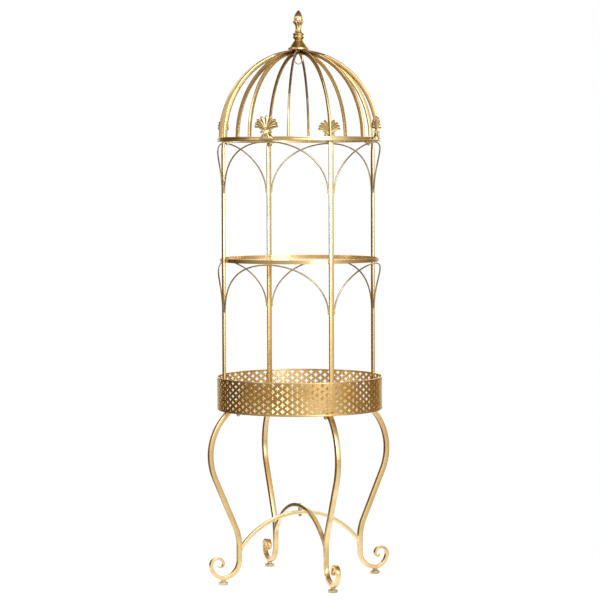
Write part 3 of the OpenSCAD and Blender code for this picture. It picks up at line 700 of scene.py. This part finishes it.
# %% Ribs
rib_t, rib_depth, rib_crown, rib_edge_r = 6, 12, 0.45, 2.4
rib_x = 212.2
rib_foot_z, ellipse_z = 1156, 1165
dome_rise = 228
crown_z = 1393
rib_end_x, plate_gap = 14, 0.1
painted_shade_from, long_painted_shade_from, dull_shade_from = 1378, 1272, 1232
front_and_back = (2, 8)


def rib_stations():
    """Stations from the foot up to the crown, each in the middle of the bar's depth."""
    line = [(rib_x - rib_depth / 2, rib_foot_z + i * (ellipse_z - rib_foot_z) / 3, 1, 0, rib_depth) for i in range(3)]
    for i in range(57):
        u = math.radians(88 * i / 56)
        out = Vector((dome_rise * math.cos(u), rib_x * math.sin(u))).normalized()
        x = rib_x * math.cos(u) - out.x * rib_depth / 2
        z = ellipse_z + dome_rise * math.sin(u) - out.y * rib_depth / 2
        line.append((x, z, out.x, out.y, rib_depth))
    return line


for k in range(12):
    bm = radial_bar(rib_stations(), rib_t, rib_edge_r, crown=rib_crown)
    cut(bm, (rib_end_x, 0, 0), (-1, 0, 0))
    cut(bm, (0, 0, crown_z - plate_gap), (0, 0, 1))
    degrees = 45 + 30 * k
    rib = piece("flat_rib_%02d" % (k + 1), bm, gilt, "gold_paint", "dome_rib_%02d" % (k + 1), degrees=degrees)
    # Painted shade: the front and back ribs turn duller and then browner higher up, the others brown near the crown.
    if k in front_and_back:
        repaint_faces(rib, wire_gilt, lambda middle, normal: middle.z > dull_shade_from * MM)
        repaint_faces(rib, brown_gilt, lambda middle, normal: middle.z > long_painted_shade_from * MM)
    else:
        repaint_faces(rib, brown_gilt, lambda middle, normal: middle.z > painted_shade_from * MM)
print("twelve ribs of", len(rib_stations()), "stations each")

# %% [markdown]
# The dome ring is two thin bars rolled to the same circle, one on the other: the lower one belongs to
# the posts, the upper one to the dome. From outside one sees two rounded lips with a dark line between
# them. Inside, the flange is flat. One spun profile gives all of it. This profile closes on itself, so
# it has its own short spinning function.

# %% Dome ring
ring_x, ring_wall, ring_flange, ring_flange_t, ring_h = 214.5, 2, 20.5, 3, 11
ring_foot_x = ring_x - ring_flange
ring_in_x = ring_x - ring_wall
seam_z = 5.6
lips = []
for low, high in ((0, seam_z), (seam_z, ring_h)):
    for i in range(7):
        a = math.radians(-75 + 150 * i / 6)
        lips.append((ring_x - 0.75 + 0.75 * math.cos(a), (low + high) / 2 + (high - low) / 2 * math.sin(a)))
ring_profile = (
    [(ring_foot_x + 0.4, 0), (ring_x - 1.2, 0)] + lips
    + [(ring_x - 1.0, ring_h), (ring_in_x, ring_h)]
    + [(ring_in_x, ring_flange_t + 0.2), (ring_in_x - 0.4, ring_flange_t)]
    + [(ring_foot_x + 0.4, ring_flange_t), (ring_foot_x, ring_flange_t - 0.4), (ring_foot_x, 0.4)]
)


def spin_closed(profile, around, middle):
    """Spins a closed profile, such as a ring's section, into a ring."""
    rings = []
    for i in range(around):
        a = math.tau * i / around
        rings.append([(r * math.cos(a), r * math.sin(a), middle + z) for r, z in profile])
    return skin(bmesh.new(), rings, closed=True)


piece("dome_base_ring", spin_closed(ring_profile, 192, dome_z), bright_gilt, "gold_paint", "dome_ring", crease=60)
print("dome ring: %d points in its section" % len(ring_profile))

# %% [markdown]
# The four palmettes are die-cast ornaments: nine leaves rise from a cup between two volutes, over a
# wide mound. Each leaf is drawn as its own small form, convex in front and slightly hollow behind, as a
# thin casting is. It springs up steeply and bends over to the side like water from a fountain, growing
# wider and thicker until its round tip. A height map could give the same relief, but only real forms
# keep the gaps between the tips open, and those gaps are what one sees against the light. Nearer the
# root the real leaves grow together, so a thin web joins them there.

# %% Palmette leaves
leaf_length, leaf_tip_r, leaf_root = 40, 4.5, 1.7
leaf_fan = {0: 1, 22.5: 1.01, -22.5: 1.01, 42: 0.98, -42: 0.98, 57: 0.93, -57: 0.93, 71: 0.86, -71: 0.86}
fan_root_y = 20
relief_back = 214.7
palmette_z = dome_z + 4


def palmette_leaf(bm, angle, length):
    """One leaf whose tip lies at an angle and a distance from the fan's root."""
    steps, place, rings = 18, Vector((0, fan_root_y)), []
    first, last = angle * 0.42, angle * 1.5
    sweep_a = math.radians(abs(last - first))
    path_length = length * (sweep_a / 2) / math.sin(sweep_a / 2) if sweep_a else length
    for i in range(steps + 1):
        s = i / steps
        a = math.radians(first + (last - first) * s)
        along = Vector((math.sin(a), math.cos(a)))
        if i:
            place = place + along * (path_length / steps)
        across = Vector((along.y, -along.x))
        grown = leaf_root + (leaf_tip_r - leaf_root) * min(s / 0.72, 1) ** 0.9
        half = grown * (math.sqrt(max(1 - ((s - 0.8) / 0.2) ** 2, 0.012)) if s > 0.8 else 1)
        front = 2.6 + 2.6 * s ** 1.4 - (1.4 * ((s - 0.85) / 0.15) ** 2 if s > 0.85 else 0)
        ring = []
        for t in (-1, -0.85, -0.6, -0.3, 0, 0.3, 0.6, 0.85, 1):
            p = place + across * half * t
            ring.append((relief_back + front - min(front - 0.7, 2.6) * abs(t) ** 1.7, p.x, palmette_z + p.y))
        for t in (1, 0, -1):
            p = place + across * half * t * 0.96
            ring.append((relief_back + 0.2 + (0.9 if t == 0 else 0), p.x, palmette_z + p.y))
        rings.append(ring)
    skin(bm, rings)


def leaf_web(bm, reach, half_angle):
    """The thin web that joins the leaves near their root."""
    rim = [(0, fan_root_y - 3)]
    for i in range(25):
        a = math.radians(-half_angle + 2 * half_angle * i / 24)
        rim.append((reach * math.sin(a), fan_root_y + reach * math.cos(a)))
    skin(bm, [[(relief_back + level, y, palmette_z + z) for y, z in rim] for level in (0.5, 1.6)])


print("leaves from %.0f to %.0f mm long" % (min(leaf_fan.values()) * leaf_length, leaf_length))

# %% [markdown]
# Under the leaves come two volutes and a cup. A volute is a spiral of a tapering tube with a boss in its
# eye, and the cup is five upright flutes, so both are drawn by sweeping a round tube along points.

# %% Palmette volutes and cup
volute_x, volute_y = 11.7, 18


def sweep_tube(bm, points, radii, sides=10):
    """A round tube along points in space. radii is one radius for each point."""
    rings = []
    for i, p in enumerate(points):
        here = Vector(p)
        after = Vector(points[min(i + 1, len(points) - 1)])
        before = Vector(points[max(i - 1, 0)])
        along = (after - before).normalized()
        side = along.cross(Vector((1, 0, 0)))
        if side.length < 0.2:
            side = along.cross(Vector((0, 1, 0)))
        side.normalize()
        up = side.cross(along).normalized()
        rings.append([here + side * radii[i] * math.cos(v) + up * radii[i] * math.sin(v)
                      for v in [math.tau * j / sides for j in range(sides)]])
    skin(bm, rings)


def volute(bm, side):
    """A spiral of a turn and a half with a boss in its eye."""
    points, radii = [], []
    for i in range(37):
        s = i / 36
        a = math.radians(-60 + 540 * s)
        reach = 3.9 - 2.6 * s
        y = side * (volute_x + reach * math.cos(a))
        points.append((relief_back + 2.0 + 1.0 * s, y, palmette_z + volute_y + reach * math.sin(a)))
        radii.append(1.2 - 0.35 * s)
    sweep_tube(bm, points, radii)
    nugget(bm, (relief_back + 2.8, side * volute_x, palmette_z + volute_y), (1.5, 1.4, 1.4), 5)


def cup(bm):
    """Five upright flutes that gather the leaves."""
    steps = [i / 10 for i in range(11)]
    for k in range(-2, 3):
        points = [(relief_back + 1.8 + 1.5 * math.sin(math.pi * s), 3.3 * k * (1.1 - 0.4 * math.sin(math.pi * s)),
                   palmette_z + 6 + 17 * s) for s in steps]
        sweep_tube(bm, points, [2.1 - 0.4 * abs(2 * s - 1) for s in steps])


print("volutes %.1f mm apart" % (2 * volute_x))

# %% [markdown]
# The mound covers the casting's foot: a fluted half dome with four curled lobes on it. It is drawn as a
# full dome and cut at the foot line.

# %% Palmette mound
mound_half_w, mound_h = 20, 15.5


def mound_lobe(bm, side, foot, height, width):
    """One leaf of the mound: it rises from the foot line and curls outward."""
    rings = []
    for i in range(13):
        s = i / 12
        y = side * (foot * (0.35 + 0.65 * (1 - s) ** 0.8))
        z = palmette_z + 0.6 + height * math.sin(math.pi / 2 * s)
        half = width * math.sqrt(max(1 - (2 * s - 1) ** 4, 0.02))
        front = 2.2 + 3.4 * math.sin(math.pi * (0.15 + 0.7 * s))
        ring = [(relief_back + front * (1 - 0.75 * t * t), y + half * t, z) for t in (-1, -0.5, 0, 0.5, 1)]
        ring += [(relief_back + 0.2, y + half * t, z) for t in (1, 0, -1)]
        rings.append(ring)
    skin(bm, rings)


def mound(bm):
    """A low half dome on the ring's wall, with four curled lobes on it."""
    part = bmesh.new()
    rings = []
    for i in range(9):
        rise = math.radians(90 * i / 8)
        ring = []
        for j in range(72):
            a = math.tau * j / 72
            flute = 1 - 0.08 * abs(math.sin(4.5 * (a - math.pi / 2))) * math.cos(rise)
            reach = max(math.cos(rise) * flute, 0.003)
            ring.append((relief_back + 0.1 + 4.2 * math.sin(rise), mound_half_w * reach * math.cos(a),
                         palmette_z + mound_h * reach * math.sin(a)))
        rings.append(ring)
    skin(part, rings)
    cut(part, (0, 0, palmette_z), (0, 0, -1))
    spare = bpy.data.meshes.new("mound_part")
    part.to_mesh(spare)
    part.free()
    bm.from_mesh(spare)
    bpy.data.meshes.remove(spare)
    for side in (-1, 1):
        mound_lobe(bm, side, 16.5, 11, 3.2)
        mound_lobe(bm, side, 8.5, 13, 3.4)


print("mound %.0f mm wide" % (2 * mound_half_w))

# %% [markdown]
# One casting stands on each side of the dome ring. The flanks of its small forms are painted brown as
# shade, and only what faces outward is bright. The two limits are cosines of the angle between a face
# and outward.

# %% Cast palmettes
web_reach, web_half_angle = 21, 72
flank_low, flank_high = -0.5, 0.72
for side, degrees in SIDES.items():
    bm = bmesh.new()
    for angle, share in leaf_fan.items():
        palmette_leaf(bm, angle, leaf_length * share)
    leaf_web(bm, web_reach, web_half_angle)
    for way in (-1, 1):
        volute(bm, way)
    cup(bm)
    mound(bm)
    cast = piece("cast_palmette_" + side, bm, bright_gilt, "bright_gold_paint", "palmette_" + side, degrees=degrees,
                 crease=50)
    # The flanks, between the two limits, take the brown gilt as painted shade.
    repaint_faces(cast, brown_gilt, lambda middle, normal: flank_low < normal.dot(direction(degrees)) < flank_high)
print("four palmettes of", len(leaf_fan), "leaves")

# %% [markdown]
# The crown is a sandwich: a plate on top of the ribs, a spun cone on the plate and the finial on the
# cone, all clamped by one long bolt whose lower end is the eye of the hanging ring. Spun metal has soft
# edges, so the profiles below turn their corners in two or three points.

# %% Crown plate and cone
bm = spin(bmesh.new(), [
    (2.6, 0), (27.6, 0), (28.3, 0.5), (28.5, 1.5), (28.3, 2.5), (27.6, 3), (2.6, 3),
], 96, (0, 0, crown_z))
piece("crown_disc", bm, gilt, "gold_paint", "crown_plate")
cone_z, cone_h = crown_z + 3, 21.5
bm = spin(bmesh.new(), [
    (24.5, 0), (26.4, 0), (27, 0.6), (27, 1.4), (26.2, 2.2), (24.6, 3.2), (21.9, 6.2), (19, 9.9), (16.2, 13.5),
    (13.6, 17), (11.6, 19.7), (10.9, 20.9), (10, cone_h), (2.6, cone_h),
], 96, (0, 0, cone_z))
piece("crown_cone", bm, gilt, "aged_gold_paint", "crown_cap", crease=50)
print("crown from %.0f to %.1f mm" % (crown_z, cone_z + cone_h))

# %% [markdown]
# The finial is cast: a collar of two beads, a waist, a ring of leaves that curl outward and a bud of
# overlapping leaves like a closed artichoke. It starts from a turned outline. One row of leaves is then
# pressed into the curl and three into the bud, by a function that gives each point its leaf's height.
# The bud's tip is browner.

# %% Finial
finial_z, finial_h = cone_z + cone_h, 78.5
leaf_depth, leaf_start, full_depth_from, brown_tip_from = 3.3, 0.36, 0.5, 0.8
finial_outline = [
    (9.4, 0), (14.7, 0.095), (13.4, 0.153), (14.7, 0.21), (9, 0.274), (8.85, 0.3), (7.65, 0.363),
    (9.45, 0.49), (14.3, 0.592), (12.9, 0.656), (11.7, 0.77), (6.6, 0.91), (0, 1),
]


def smooth_through(points, parts):
    """A Catmull-Rom curve through points, with parts steps between two of them."""
    line = []
    last = len(points) - 1
    for i in range(last):
        a, b, c, d = (Vector(points[min(max(k, 0), last)]) for k in (i - 1, i, i + 1, i + 2))
        for j in range(parts):
            t = j / parts
            line.append(0.5 * (2 * b + (c - a) * t + (2 * a - 5 * b + 4 * c - d) * t * t
                               + (3 * b - a - 3 * c + d) * t ** 3))
    return line + [Vector(points[last])]


# Each row is (lowest share, highest share, offset in leaves, count).
leaf_rows = [(leaf_start, 0.635, 0.0, 7), (0.60, 0.80, 0.5, 7), (0.67, 0.92, 0.0, 7), (0.78, 1.02, 0.5, 7)]


def leafy(a, z, r):
    """Presses rows of pointed leaves into the outline. The hollows go in, the leaves keep the outline."""
    share = z / finial_h
    if share < leaf_start:
        return r
    best = 0.0
    for low, high, offset, count in leaf_rows:
        u = (share - low) / (high - low)
        if 0 <= u <= 1:
            turn_a = math.tau / count
            twist = 0.25 * u * turn_a if low > full_depth_from else 0.0
            within = abs((a + twist - offset * turn_a + turn_a / 2) % turn_a - turn_a / 2)
            half = turn_a / 2 * min(1.02, 1.35 * (1 - u) ** 0.55)
            if within < half:
                d = within / half
                best = max(best, (1 - d ** 2.2) ** 0.6 * (0.75 + 0.25 * u))
    grown = min((share - leaf_start) / (full_depth_from - leaf_start), 1.0)
    return r - leaf_depth * grown * (1 - best)


outline = [(max(p.x, 0.05), p.y) for p in smooth_through([(r, s * finial_h) for r, s in finial_outline], 9)]
bm = spin(bmesh.new(), outline, 160, (0, 0, finial_z), leafy)
bud = piece("cast_finial", bm, gilt, "gold_paint", "finial", crease=60)
repaint_faces(bud, brown_gilt, lambda middle, normal: middle.z > (finial_z + brown_tip_from * finial_h) * MM)
print("finial of", len(outline), "stations")

# %% [markdown]
# Under the crown hangs a link of 2.5 mm wire with straight sides. It rests in a small eye, and it is the
# one part that swings, so it rides on its own body while the eye stays with the stand.

# %% Eye and hanging ring
eye_z, eye_r, eye_wire_r, shoulder_z = 1385.3, 3.2, 1.1, 1389
shank_profile = [(2.5, 0), (4.9, 0), (5.5, 0.6), (5.5, 3.5), (5.2, 4), (2.5, 4), (2.5, 48)]
bm = spin(bmesh.new(), shank_profile, 48, (0, 0, shoulder_z))
rings = []
for i in range(40):
    a = math.tau * i / 40
    out = Vector((0, math.cos(a), math.sin(a)))
    here = Vector((0, 0, eye_z)) + out * eye_r
    rings.append([here + out * p + Vector((1, 0, 0)) * q for p, q in round_section(eye_wire_r)])
skin(bm, rings, closed=True)
piece("crown_eye", bm, zinc, "zinc_steel", "eye_bolt")

link_wire_r, link_bend, link_straight = 1.25, 10.75, 7.4
link_top_z = 1384.5
bend_z = link_top_z - link_bend
rings = []
for i in range(64):
    a = math.tau * (i + 0.5) / 64
    out = Vector((math.cos(a), 0, math.sin(a)))
    middle = Vector((0, 0, bend_z - (link_straight if math.sin(a) < 0 else 0))) + out * link_bend
    rings.append([middle + out * p + Vector((0, 1, 0)) * q for p, q in round_section(link_wire_r)])
piece("wire_link", skin(bmesh.new(), rings, closed=True), bright_gilt, "bright_gold_paint", "hanging_ring",
      body="hanging_ring", crease=60)
print("hanging ring %.1f mm high" % (2 * (link_bend + link_wire_r) + link_straight))

# %% [markdown]
# The tray's band is a strip of sheet, punched flat with rows of four-pointed stars, every other column
# set half a step lower, and then rolled into a ring. A photograph of a pierced pattern won't do here: the
# holes must really be open, because one sees the far wall through the near one. This cell draws the
# outline of one star, whose four lobes are mirrored from one, and places five of them in a column. The
# strip was cut through the pattern, so the rows at its edges are cut off level.

# %% Stars of one column
band_r, band_t, band_h = 215.63, 1.2, 81.3
columns = 106
star_w, star_h, star_waist = 12.2, 12.5, 2.0
first_star, edge_low, edge_high = 7.75, 2.5, 80.5
first_column = 0.65
column_w = math.tau * band_r / columns


def star_outline(middle_z, grow):
    """A star's outline: four pointed lobes that meet in a narrow waist, cut off level at the plain edges."""
    lobe = ((star_w / 2, 0), (4.6, 1.3), (3.2, 1.9), (star_waist, star_waist), (1.9, 3.2), (1.3, 4.7))
    outline = []
    for turn_x, turn_z, swapped in ((1, 1, False), (-1, 1, True), (-1, -1, False), (1, -1, True)):
        points = [(x * turn_x, z * turn_z) for x, z in lobe]
        if swapped:
            points = [(0, star_h / 2 * turn_z)] + points[:0:-1]
        outline += [(x * grow, middle_z + z * grow) for x, z in points]
    for level, above in ((edge_low, True), (edge_high, False)):
        kept = []
        for k, (x, z) in enumerate(outline):
            px, pz = outline[k - 1]
            inside, before = (z >= level) == above, (pz >= level) == above
            if inside != before:
                share = (level - pz) / (z - pz)
                kept.append((px + (x - px) * share, level))
            if inside:
                kept.append((x, z))
        outline = kept
    return outline


def column_stars(odd, grow):
    """The outlines of a column's five stars, from the top down."""
    return [star_outline(tray_h - first_star - star_pitch * (row + 0.5 * odd), grow) for row in range(5)]


print("a column is %.2f mm wide, a star %.1f mm" % (column_w, star_w))

# %% [markdown]
# One column of the strip is now filled with triangles round its stars, once for an even and once for an
# odd column. The outer face gets slightly wider holes than the inner one, because a punch rounds the
# edge that it enters, and the difference becomes a small chamfer.

# %% One column as a flat sheet
side_steps = 8
outer_grow, inner_grow = 1.03, 1.0


def flat_column(odd, grow):
    """One column as a flat mesh: points (x, z), triangles, and the outline of each hole as point numbers."""
    flat = bmesh.new()
    levels = [band_h * i / side_steps for i in range(side_steps + 1)]
    border = [(-column_w / 2, z) for z in reversed(levels)] + [(column_w / 2, z) for z in levels]
    loops = []
    for outline in [border] + column_stars(odd, grow):
        made = [flat.verts.new((x, 0, z)) for x, z in outline]
        loops.append([len(flat.verts) - len(made) + i for i in range(len(made))])
        for a, b in zip(made, made[1:] + made[:1]):
            flat.edges.new((a, b))
    flat.verts.index_update()
    bmesh.ops.triangle_fill(flat, use_beauty=True, edges=flat.edges[:], normal=(0, -1, 0))
    points = [(v.co.x, v.co.z) for v in flat.verts]
    triangles = [[v.index for v in face.verts] for face in flat.faces]
    flat.free()
    return points, triangles, loops


sheets = {odd: (flat_column(odd, outer_grow), flat_column(odd, inner_grow)) for odd in (0, 1)}
print("an even column has", len(sheets[0][0][1]), "triangles and an odd one", len(sheets[1][0][1]))

# %% [markdown]
# The two columns are wrapped round the circle in turn. Three skins lie over each other: the outer face,
# the foot of the chamfer and the inner face. The walls of the holes join them, and so do the plain
# upper and lower edges.

# %% Punched band
chamfer = 0.25


def wrap(x, z, r, column):
    """A flat point rolled to the circle."""
    a = math.tau * (column + first_column) / columns + x / band_r
    return (r * math.cos(a), r * math.sin(a), tray_z + z)


bm = bmesh.new()
for column in range(columns):
    (outer_points, outer_faces, loops), (points, faces, _) = sheets[column % 2]
    skins = [
        [bm.verts.new(wrap(x, z, band_r + band_t, column)) for x, z in outer_points],
        [bm.verts.new(wrap(x, z, band_r + band_t - chamfer, column)) for x, z in points],
        [bm.verts.new(wrap(x, z, band_r, column)) for x, z in points],
    ]
    for face in outer_faces:
        bm.faces.new([skins[0][i] for i in face])
    for face in faces:
        bm.faces.new([skins[2][i] for i in reversed(face)])
    for loop in loops[1:]:
        for a, b in zip(loop, loop[1:] + loop[:1]):
            for near, far in ((skins[0], skins[1]), (skins[1], skins[2])):
                bm.faces.new((near[a], near[b], far[b], far[a]))
    side = loops[0]
    for a, b in ((side[-1], side[0]), (side[side_steps], side[side_steps + 1])):
        bm.faces.new((skins[0][a], skins[0][b], skins[2][b], skins[2][a]))
bmesh.ops.remove_doubles(bm, verts=bm.verts, dist=0.002)
loose = [v for v in bm.verts if not v.link_faces]
bmesh.ops.delete(bm, geom=loose, context="VERTS")
face_count = len(bm.faces)
band = piece("punched_band", bm, band_paint, "gold_paint", "tray_band", crease=30)
print("punched band:", face_count, "faces")

# %% [markdown]
# The band's triangles are long and thin, and their averaged normals would draw faint spokes in the
# shine. On a rolled sheet every normal points straight out or in, so those are written to the corners.
# The faces of the inner skin get the inside's brighter paint here too, which is painted light.

# %% Straight normals on the band
on_the_sheet, inner_skin = 0.96, band_r + 0.3
mesh = band.data
normals = [(0.0, 0.0, 0.0)] * len(mesh.loops)
straight = 0
for polygon in mesh.polygons:
    middle = Vector((polygon.center.x, polygon.center.y, 0)).normalized()
    facing = polygon.normal.dot(middle)
    if abs(facing) > on_the_sheet:
        for index in polygon.loop_indices:
            co = mesh.vertices[mesh.loops[index].vertex_index].co
            out = Vector((co.x, co.y, 0)).normalized() * (1 if facing > 0 else -1)
            normals[index] = tuple(out)
        straight += 1
mesh.normals_split_custom_set(normals)
# The inner skin's faces take the brighter paint: painted light.
mesh.materials.append(lit_inside_paint)
for polygon in mesh.polygons:
    middle = Vector((polygon.center.x, polygon.center.y, 0))
    if middle.length < inner_skin * MM and polygon.normal.dot(middle) < 0:
        polygon.material_index = 1
print("straight normals on", straight, "faces")

# %% [markdown]
# The band's lower edge is hemmed: a half-round lip runs round it and hides the edge of the floor. It is
# spun from a small profile that laps up the outside of the sheet.

# %% Band hem
hem = [(band_r + 0.1, 0.9), (band_r - 0.1, -0.6), (band_r, -1.9), (band_r + 0.4, -2.6), (band_r + 0.9, -2.6),
       (band_r + 1.4, -1.9), (band_r + 1.5, -0.6), (band_r + 1.45, 0.6), (band_r + 1.25, 1.2)]
piece("band_hem", spin_closed(hem, 192, tray_z), band_paint, "gold_paint", "tray_band", crease=60)
print("hem: %.1f mm below the sheet" % -min(z for _, z in hem))

# %% [markdown]
# Metal has almost no colour of its own: it shows the room. The reflections in the photograph tell of a
# white cove behind the stand, a large soft light to the right of the camera, a paler front, and unlit,
# brownish left and right sides, which is why every edge that faces there is brown. The ceiling and the
# floor look darker too, apart from something pale and low to the right in front, drawn here as a board.
# So the world is such a room, drawn by direction: white to the camera, and for the metal a ramp round
# the horizon times a ramp from floor to ceiling. It is fixed to the stand, not to the camera.

# %% World
world = bpy.data.worlds.new("studio")
bpy.context.scene.world = world
world.use_nodes = True
tree = world.node_tree
tree.nodes.clear()
out = add(tree, "OutputWorld")
path = add(tree, "LightPath")
where = add(tree, "VectorRotate", {
    "Vector": add(tree, "TexCoord").outputs["Generated"], "Angle": -turn,
}, rotation_type="Z_AXIS")
split = add(tree, "SeparateXYZ", {0: where.outputs[0]})
toward_camera = add(tree, "Math", {0: split.outputs[1], 1: -1.0}, operation="MULTIPLY")
angle = add(tree, "Math", {0: split.outputs[0], 1: toward_camera.outputs[0]}, operation="ARCTAN2")
round_share = add(tree, "MapRange", {"Value": angle.outputs[0], "From Min": -math.pi, "From Max": math.pi})
round_ramp = add(tree, "ValToRGB", {0: round_share.outputs[0]})


def at(degrees):
    """Place on the ramp of a direction, in degrees to the right of the camera."""
    return (degrees + 180) / 360


round_stops = {
    -180: (1.6, 1.6, 1.6), -160: (1.3, 1.27, 1.2), -146: (0.27, 0.2, 0.12), -124: (0.12, 0.08, 0.035),
    -100: (0.17, 0.125, 0.07), -75: (0.52, 0.44, 0.31), -50: (0.7, 0.63, 0.5), -14: (0.95, 0.9, 0.78),
    8: (1.45, 1.43, 1.33), 25: (1.6, 1.6, 1.55), 45: (1.3, 1.3, 1.26), 62: (1.05, 0.98, 0.82),
    85: (0.66, 0.55, 0.38), 105: (0.55, 0.44, 0.27), 124: (0.34, 0.23, 0.11), 142: (0.44, 0.34, 0.22),
    160: (1.3, 1.27, 1.2), 180: (1.6, 1.6, 1.6),
}
# A ramp's colours end at 1, so the stops are halved here and the strength below is about doubled.
set_ramp(round_ramp, [(at(degrees), (*[v / 2 for v in shade], 1.0)) for degrees, shade in round_stops.items()])
up_share = add(tree, "MapRange", {"Value": split.outputs[2], "From Min": -1.0, "From Max": 1.0})
up_ramp = add(tree, "ValToRGB", {0: up_share.outputs[0]})
set_ramp(up_ramp, [
    (0.0, (0.2, 0.15, 0.09, 1.0)), (0.3, (0.28, 0.21, 0.13, 1.0)), (0.42, (0.58, 0.5, 0.37, 1.0)),
    (0.44, (0.58, 0.51, 0.39, 1.0)), (0.47, (0.4, 0.35, 0.26, 1.0)), (0.5, (0.8, 0.77, 0.7, 1.0)),
    (0.53, 1.0), (0.68, 1.0), (0.85, (0.52, 0.47, 0.38, 1.0)), (1.0, (0.36, 0.28, 0.15, 1.0)),
])
room = add(tree, "Mix", {
    0: 1.0, 6: round_ramp.outputs[0], 7: up_ramp.outputs[0],
}, data_type="RGBA", blend_type="MULTIPLY")
board_direction, board_shade = (0.542, -0.542, -0.643), (0.55, 0.52, 0.46, 1.0)
board_rim, board_full = 0.82, 0.93
toward_board = add(tree, "VectorMath", {0: where.outputs[0], 1: board_direction}, operation="DOT_PRODUCT")
board = add(tree, "MapRange", {
    "Value": toward_board.outputs["Value"], "From Min": board_rim, "From Max": board_full,
})
lit_room = add(tree, "Mix", {0: board.outputs[0], 6: room.outputs[2], 7: board_shade}, data_type="RGBA")
room_light = add(tree, "Background", {"Color": lit_room.outputs[2], "Strength": 1.9})
plain_light = add(tree, "Background", {"Color": colour("#ffffff"), "Strength": 1.0})
chosen = add(tree, "MixShader", {
    0: path.outputs["Is Glossy Ray"], 1: plain_light.outputs[0], 2: room_light.outputs[0],
})
tree.links.new(chosen.outputs[0], out.inputs["Surface"])
print("world:", len(round_ramp.color_ramp.elements), "stops round the horizon")

# %% [markdown]
# Four large soft lamps give the metal crisp edges to its glints and the floor its soft shadow: the key
# to the right of the camera, a high fill on the left, a weak one nearly behind the camera, and a strip
# behind the stand on the right. Sizes and distances are in metres and powers in watts.

# %% Lamps
aim_height = 0.75


def soft_lamp(name, azimuth, elevation, distance, width, height, power):
    """An area lamp that looks at the middle of the stand. azimuth is in degrees right of the camera."""
    data = bpy.data.lights.new(name, "AREA")
    data.shape = "RECTANGLE"
    data.size = width
    data.size_y = height
    data.energy = power
    lamp = bpy.data.objects.new(name, data)
    bpy.context.scene.collection.objects.link(lamp)
    a = turn + math.radians(azimuth)
    e = math.radians(elevation)
    middle = Vector((0, 0, aim_height))
    offset = Vector((math.sin(a) * math.cos(e), -math.cos(a) * math.cos(e), math.sin(e))) * distance
    lamp.location = middle + offset
    lamp.rotation_euler = offset.to_track_quat("Z", "Y").to_euler()


soft_lamp("key", azimuth=30, elevation=15, distance=3.2, width=1.3, height=2.0, power=30)
soft_lamp("left_fill", azimuth=-58, elevation=38, distance=3.2, width=1.8, height=1.2, power=14)
soft_lamp("front", azimuth=6, elevation=30, distance=3.6, width=1.2, height=1.2, power=9)
soft_lamp("rim", azimuth=128, elevation=25, distance=3.0, width=0.6, height=2.0, power=10)

# %% [markdown]
# The floor is a white paper sweep. A round sheet is enough: near the feet it is a plain diffuse white
# that keeps the soft shadow, and towards its edge it turns into the same pure white as the background.
# Out there the metal sees the room through it, because its reflections show no white floor that far
# away. Paper's fibres are far finer than can show, so its mottle is drawn at 2.5 mm.

# %% Floor
floor_reach, floor_sides = 4.0, 96
white_from, white_to = 0.3, 0.9
fibre_size = 2.5 * MM
bm = bmesh.new()
turns = [math.tau * i / floor_sides for i in range(floor_sides)]
rings = [[(r * math.cos(a), r * math.sin(a), 0) for a in turns] for r in (0.02, 0.4, 0.8, 1.6, floor_reach)]
rows = [[bm.verts.new(p) for p in ring] for ring in rings]
bm.faces.new(rows[0])
for low, high in zip(rows, rows[1:]):
    for i in range(floor_sides):
        j = (i + 1) % floor_sides
        bm.faces.new((low[i], high[i], high[j], low[j]))
mesh = bpy.data.meshes.new("paper_floor")
bm.to_mesh(mesh)
bm.free()
floor = bpy.data.objects.new("paper_floor", mesh)
bpy.context.scene.collection.objects.link(floor)
floor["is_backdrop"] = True

paper, tree, out = new_material("white_paper")
place = add(tree, "TexCoord").outputs["Object"]
distance = add(tree, "VectorMath", {0: place}, operation="LENGTH")
fade = add(tree, "MapRange", {"Value": distance.outputs["Value"], "From Min": white_from, "From Max": white_to})
path = add(tree, "LightPath")
fibre = add(tree, "TexNoise", {"Vector": place, "Scale": 1 / fibre_size, "Detail": 2.0})
tone = add(tree, "Mix", {0: fibre.outputs[0], 6: colour("#ededed"), 7: colour("#f1f1f1")}, data_type="RGBA")
matt = add(tree, "BsdfDiffuse", {"Color": tone.outputs[2]})
lift = add(tree, "Emission", {"Color": colour("#ffffff"), "Strength": 0.22})
near = add(tree, "AddShader", {0: matt.outputs[0], 1: lift.outputs[0]})
seen = add(tree, "Math", {0: path.outputs["Is Camera Ray"], 1: path.outputs["Is Glossy Ray"]}, operation="MAXIMUM")
near_seen = add(tree, "MixShader", {0: seen.outputs[0], 1: matt.outputs[0], 2: near.outputs[0]})
far = add(tree, "Emission", {"Color": colour("#ffffff"), "Strength": 1.0})
far_seen = add(tree, "MixShader", {
    0: path.outputs["Is Glossy Ray"], 1: far.outputs[0], 2: add(tree, "BsdfTransparent").outputs[0],
})
sweep_white = add(tree, "MixShader", {0: fade.outputs[0], 1: near_seen.outputs[0], 2: far_seen.outputs[0]})
tree.links.new(sweep_white.outputs[0], out.inputs["Surface"])
mesh.materials.append(paper)
print("floor: %.1f m across" % (2 * floor_reach))

# %% [markdown]
# The view transform is Standard, so that a colour comes out as it was written. The last line prints the
# size of the box round the dressed stand.

# %% Finish
bpy.context.scene.view_settings.view_transform = "Standard"
low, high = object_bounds()
print("visual box: %s mm" % [round((b - a) / MM, 1) for a, b in zip(low, high)])
